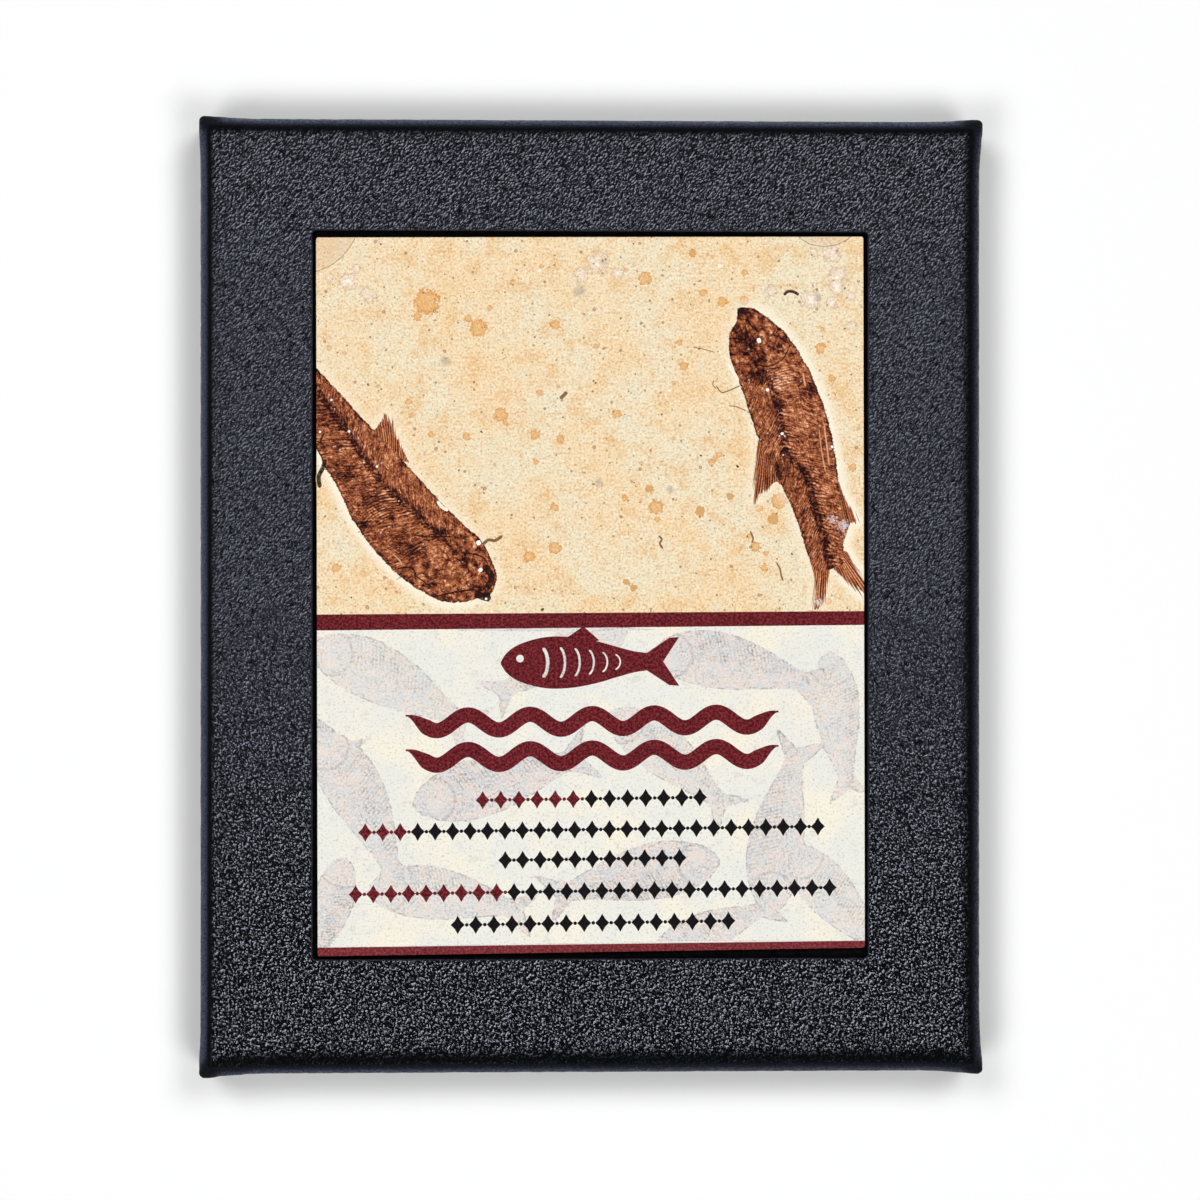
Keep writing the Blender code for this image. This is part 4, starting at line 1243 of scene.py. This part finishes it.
def fishColour(colour, place):
    along, across = fieldOf(place, "along"), fieldOf(place, "across")
    edge, finEdge, ray = fieldOf(place, "fishEdge"), fieldOf(place, "finEdge"), fieldOf(place, "ray")
    wobble = swing(noiseAt(place, 0.5, 3.0, 0.7), 0.6) + swing(noiseAt(place, 2.2, 1.0), 0.5)
    hair = fade(noiseAt(placeOf((along + edge * 0.5) * 3.4, edge * 0.5), 1.0, 3.0, 0.8), 0.54, 0.74)
    tufts = fade(across, 2.0, 3.5) * fade(noiseAt(place, 3.0, 1.0), 0.42, 0.62)
    outer = edge + wobble + hair * tufts * 1.3
    fringe = noiseAt(placeOf(ray * 3.0, 3.0), 1.0, 3.0, 0.8)
    free = fade(edge, -0.4, -2.8)  # far from the body, where a fin frays
    finOuter = finEdge + swing(fringe, 1.0) * mixValue(free, 0.6, 4.4) + wobble * 0.5
    whole = calc("MAXIMUM", outer, finEdge)
    halo = fade(whole, -1.9, -0.3) * mixValue(fade(across, 1.0, 3.5), 0.4, 0.85)
    colour = mixColour(halo, colour, (252, 242, 220))
    tone, dark, dust, cord = bodyTone(place, along, across)
    tone -= fade(whole, 0.5, 0.05) * 0.22
    skin = mixColour(dark * 0.4, ramp(tone, fossilTones), (62, 32, 36))
    glint, _ = spots(place, 0.95, 0.19, 0.3)
    skin = mixColour(glint * (0.45 + cord * 0.55), skin, (248, 232, 218))
    rays = lines(ray + wobble * 0.4, 0.36, 0.45)
    grain = noiseAt(placeOf(ray * 3.4, finEdge * 0.5), 1.0, 3.0, 0.7)
    fin = ramp(0.62 - rays * 0.4 + swing(grain, 1.5) + swing(dust, 0.9), fossilTones)
    pale = fade(fieldOf(place, "whitened") + swing(dust, 2.8), 0.55, 1.05)
    fin = mixColour(pale * 0.8, fin, (232, 226, 226))
    skin = mixColour(pale * 0.7, skin, (226, 210, 206))
    colour = mixColour(fade(finOuter, -0.05, 0.1), colour, fin)
    return mixColour(fade(outer, -0.04, 0.06), colour, skin)


def labelPrint():
    material, shader, place = newPrint("labelPrint")
    edge, along = fieldOf(place, "ghostEdge"), fieldOf(place, "ghostAlong")
    across, kind = fieldOf(place, "ghostAcross"), fieldOf(place, "ghostKind")
    broad = noiseAt(place, 10.0, 3.0, 0.55)
    streak = noiseAt(warped(place, 5.0, 3.0), 2.2, 5.0, 0.72)
    speck = noiseAt(place, 0.4, 3.0, 0.8)
    base = layered(
        mixColour(fade(broad, 0.42, 0.68), (237, 236, 228), (247, 240, 222)),
        (streak, 0.54, 0.7, 0.5, (208, 208, 202)), (streak, 0.46, 0.3, 0.5, (247, 240, 226)),
        (speck, 0.52, 0.68, 0.7, (180, 178, 172)),
    )
    wobble = swing(noiseAt(place, 0.7, 3.0, 0.6), 0.6)
    outer = edge + wobble
    inside = fade(outer, -0.05, 0.2)
    warmth = noiseAt(place, 2.6, 3.0, 0.6)
    tint = mixColour(fade(warmth, 0.44, 0.56), (228, 214, 208), (214, 212, 214))
    ribs = lines(along + across * 0.4, 0.62, 0.42) * fade(along, 6.0, 8.0) * fade(across, -0.4, 0.6)
    strokes = fade(noiseAt(placeOf(along * 0.7, across * 3.0), 1.0, 4.0, 0.75), 0.55, 0.64)
    tone = (ribs * 0.45 + fade(speck, 0.5, 0.62) * 0.6 + strokes * 0.6) * (0.5 + swing(streak, 3.2))
    onFish = placeOf(along, across)
    eye = vectors("DISTANCE", onFish, (3.6, -0.9, 0.0), "Value") + swing(noiseAt(place, 0.9, 2.0), 0.7)
    gill = vectors("DISTANCE", onFish, (3.2, 0.2, 0.0), "Value") + wobble
    tone += fade(abs(gill - 3.6), 0.4, 0.06) * 0.3 - fade(eye, 1.3, 0.8) * 0.55
    body = mixColour(tone * 1.25, tint, (126, 120, 124))
    body = mixColour(fade(speck, 0.48, 0.36) * 0.6, body, (250, 246, 238))
    colour = mixColour(inside * (0.6 + kind * 0.25), base, body)
    rim = fade(outer, 0.34, 0.1) * inside
    patchy = fade(noiseAt(place, 1.6, 3.0), 0.46, 0.6)
    colour = mixColour(rim * patchy * 0.6, colour, (112, 106, 108))
    finish(shader, colour, place, 0.012, 0.55, 0.05)
    return material


def inkPrint(name, tint, darker):
    material, shader, place = newPrint(name)
    share = fade(noiseAt(place, 0.42, 3.0, 0.75), 0.4, 0.66) * 0.75 + noiseAt(place, 3.5, 2.0) * 0.25
    finish(shader, mixColour(share, darker, tint), place, 0.012, 0.5, 0.05)
    return material


def coreBoard():
    material, shader, place = newMaterial("cardCore")
    layers = noiseAt(warped(place, 1.0, 0.2), 0.4, 3.0, 0.7)
    finish(shader, mixColour(layers, (168, 156, 140), (206, 196, 178)), place, 0.03, 0.85, 0.5)
    return material


def cardEdge(flat, triangles):  # the loop of points round the sheet, and which way is out at each
    pairs = {pair for triangle in triangles for pair in zip(triangle, triangle[1:] + triangle[:1])}
    following = {start: end for start, end in pairs if (end, start) not in pairs}
    loop = [min(following)]
    while following[loop[-1]] != loop[0]:
        loop.append(following[loop[-1]])
    reach = np.array([card["width"], card["height"]]) / 2 - card["corner"] - card["bevel"]
    outward = flat[loop] - np.clip(flat[loop], -reach, reach)
    outward /= np.maximum(np.linalg.norm(outward, axis=1), 1e-9)[:, None]
    return loop, outward


def addSides(flat, faces, names):  # bevel, sides and back; gives every point's place and height
    loop, outward = cardEdge(flat, faces)
    rim = flat[loop]
    top, bevel = cardHigh.z, card["bevel"]
    rings = []  # reach out, height
    for step in range(1, card["bevelSteps"] + 1):
        angle = math.pi / 2 * step / card["bevelSteps"]
        rings.append((bevel * math.sin(angle), top - bevel * mm * (1 - math.cos(angle))))
    rings.append((bevel, cardLow.z + bevel * mm))
    rings.append((0.0, cardLow.z))
    sheet = [flat]
    heights = [np.full(len(flat), top)]
    before = loop
    for number, (reach, height) in enumerate(rings):
        first = len(flat) + number * len(loop)
        ring = list(range(first, first + len(loop)))
        sheet.append(rim + outward * reach)
        heights.append(np.full(len(loop), height))
        for index in range(len(loop)):
            after = (index + 1) % len(loop)
            faces.append([before[after], before[index], ring[index], ring[after]])
            field = card["fields"][barsOver(*(rim[index] + rim[after]) / 2)]
            names.append(field if number < card["bevelSteps"] else "core")
        before = ring
    faces.append(before[::-1])
    names.append("core")
    return np.vstack(sheet), np.concatenate(heights)


def cardPrints():  # a material for each name that a face may have
    prints = {"stone": stonePrint("fossilPrint", True), "ground": stonePrint("stonePrint", False)}
    prints["paper"] = labelPrint()
    for name, (tint, darker) in card["inks"].items():
        prints[name] = inkPrint(name + "Ink", tint, darker)
    return {**prints, "core": coreBoard()}


def makeCard():
    flat, faces, names, threads = cardMesh()
    printed = len(faces)
    sheet, heights = addSides(flat, faces, names)
    piece = meshObject("fossilCard", np.column_stack([sheetPlaces(sheet), heights]), faces)
    mesh = piece.data
    prints = cardPrints()
    for material in prints.values():
        mesh.materials.append(material)
    fields = {**fossilFields(sheet), **ghostFields(sheet)}
    nearFish = np.maximum(fields["fishEdge"], fields["finEdge"]) > card["fishReach"]
    for index, face in enumerate(faces):
        if names[index] == "stone" and not nearFish[face].any():
            names[index] = "ground"
    mesh.polygons.foreach_set("material_index", [list(prints).index(name) for name in names])
    for name, values in fields.items():
        mesh.attributes.new(name, "FLOAT", "POINT").data.foreach_set("value", values)
    threads = np.array(threads + [0] * (len(faces) - printed), dtype=float)
    mesh.attributes.new("thread", "FLOAT", "FACE").data.foreach_set("value", threads)
    spread = np.column_stack([sheet, np.zeros(len(sheet))])
    mesh.attributes.new("sheet", "FLOAT_VECTOR", "POINT").data.foreach_set("vector", spread.ravel())
    smooth = [printed <= index < len(faces) - 1 for index in range(len(faces))]
    mesh.polygons.foreach_set("use_smooth", smooth)
    mesh.update()
    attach(piece, "root")
    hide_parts("printed_card")
    print("printed card:", len(mesh.polygons), "faces")


makeCard()


def backingBoard():  # dark pressed board with pale fibres
    material, shader, place = newMaterial("backingBoard")
    fibre = noiseAt(warped(place, 3.0, 2.0), 0.9, 5.0, 0.75)
    fleck = noiseAt(place, 0.35, 2.0, 0.7)
    colour = mixColour(fade(fibre, 0.35, 0.68), (5, 5, 6), (18, 17, 19))
    colour = mixColour(fade(fleck, 0.62, 0.76) * 0.5, colour, (48, 46, 44))
    finish(shader, colour, place, 0.08, 0.9, 0.1)
    return material


for piece in bpy.data.objects:
    if piece.name.split(".")[0] == "backing_board":
        for slot in piece.material_slots:
            slot.material = backingBoard()
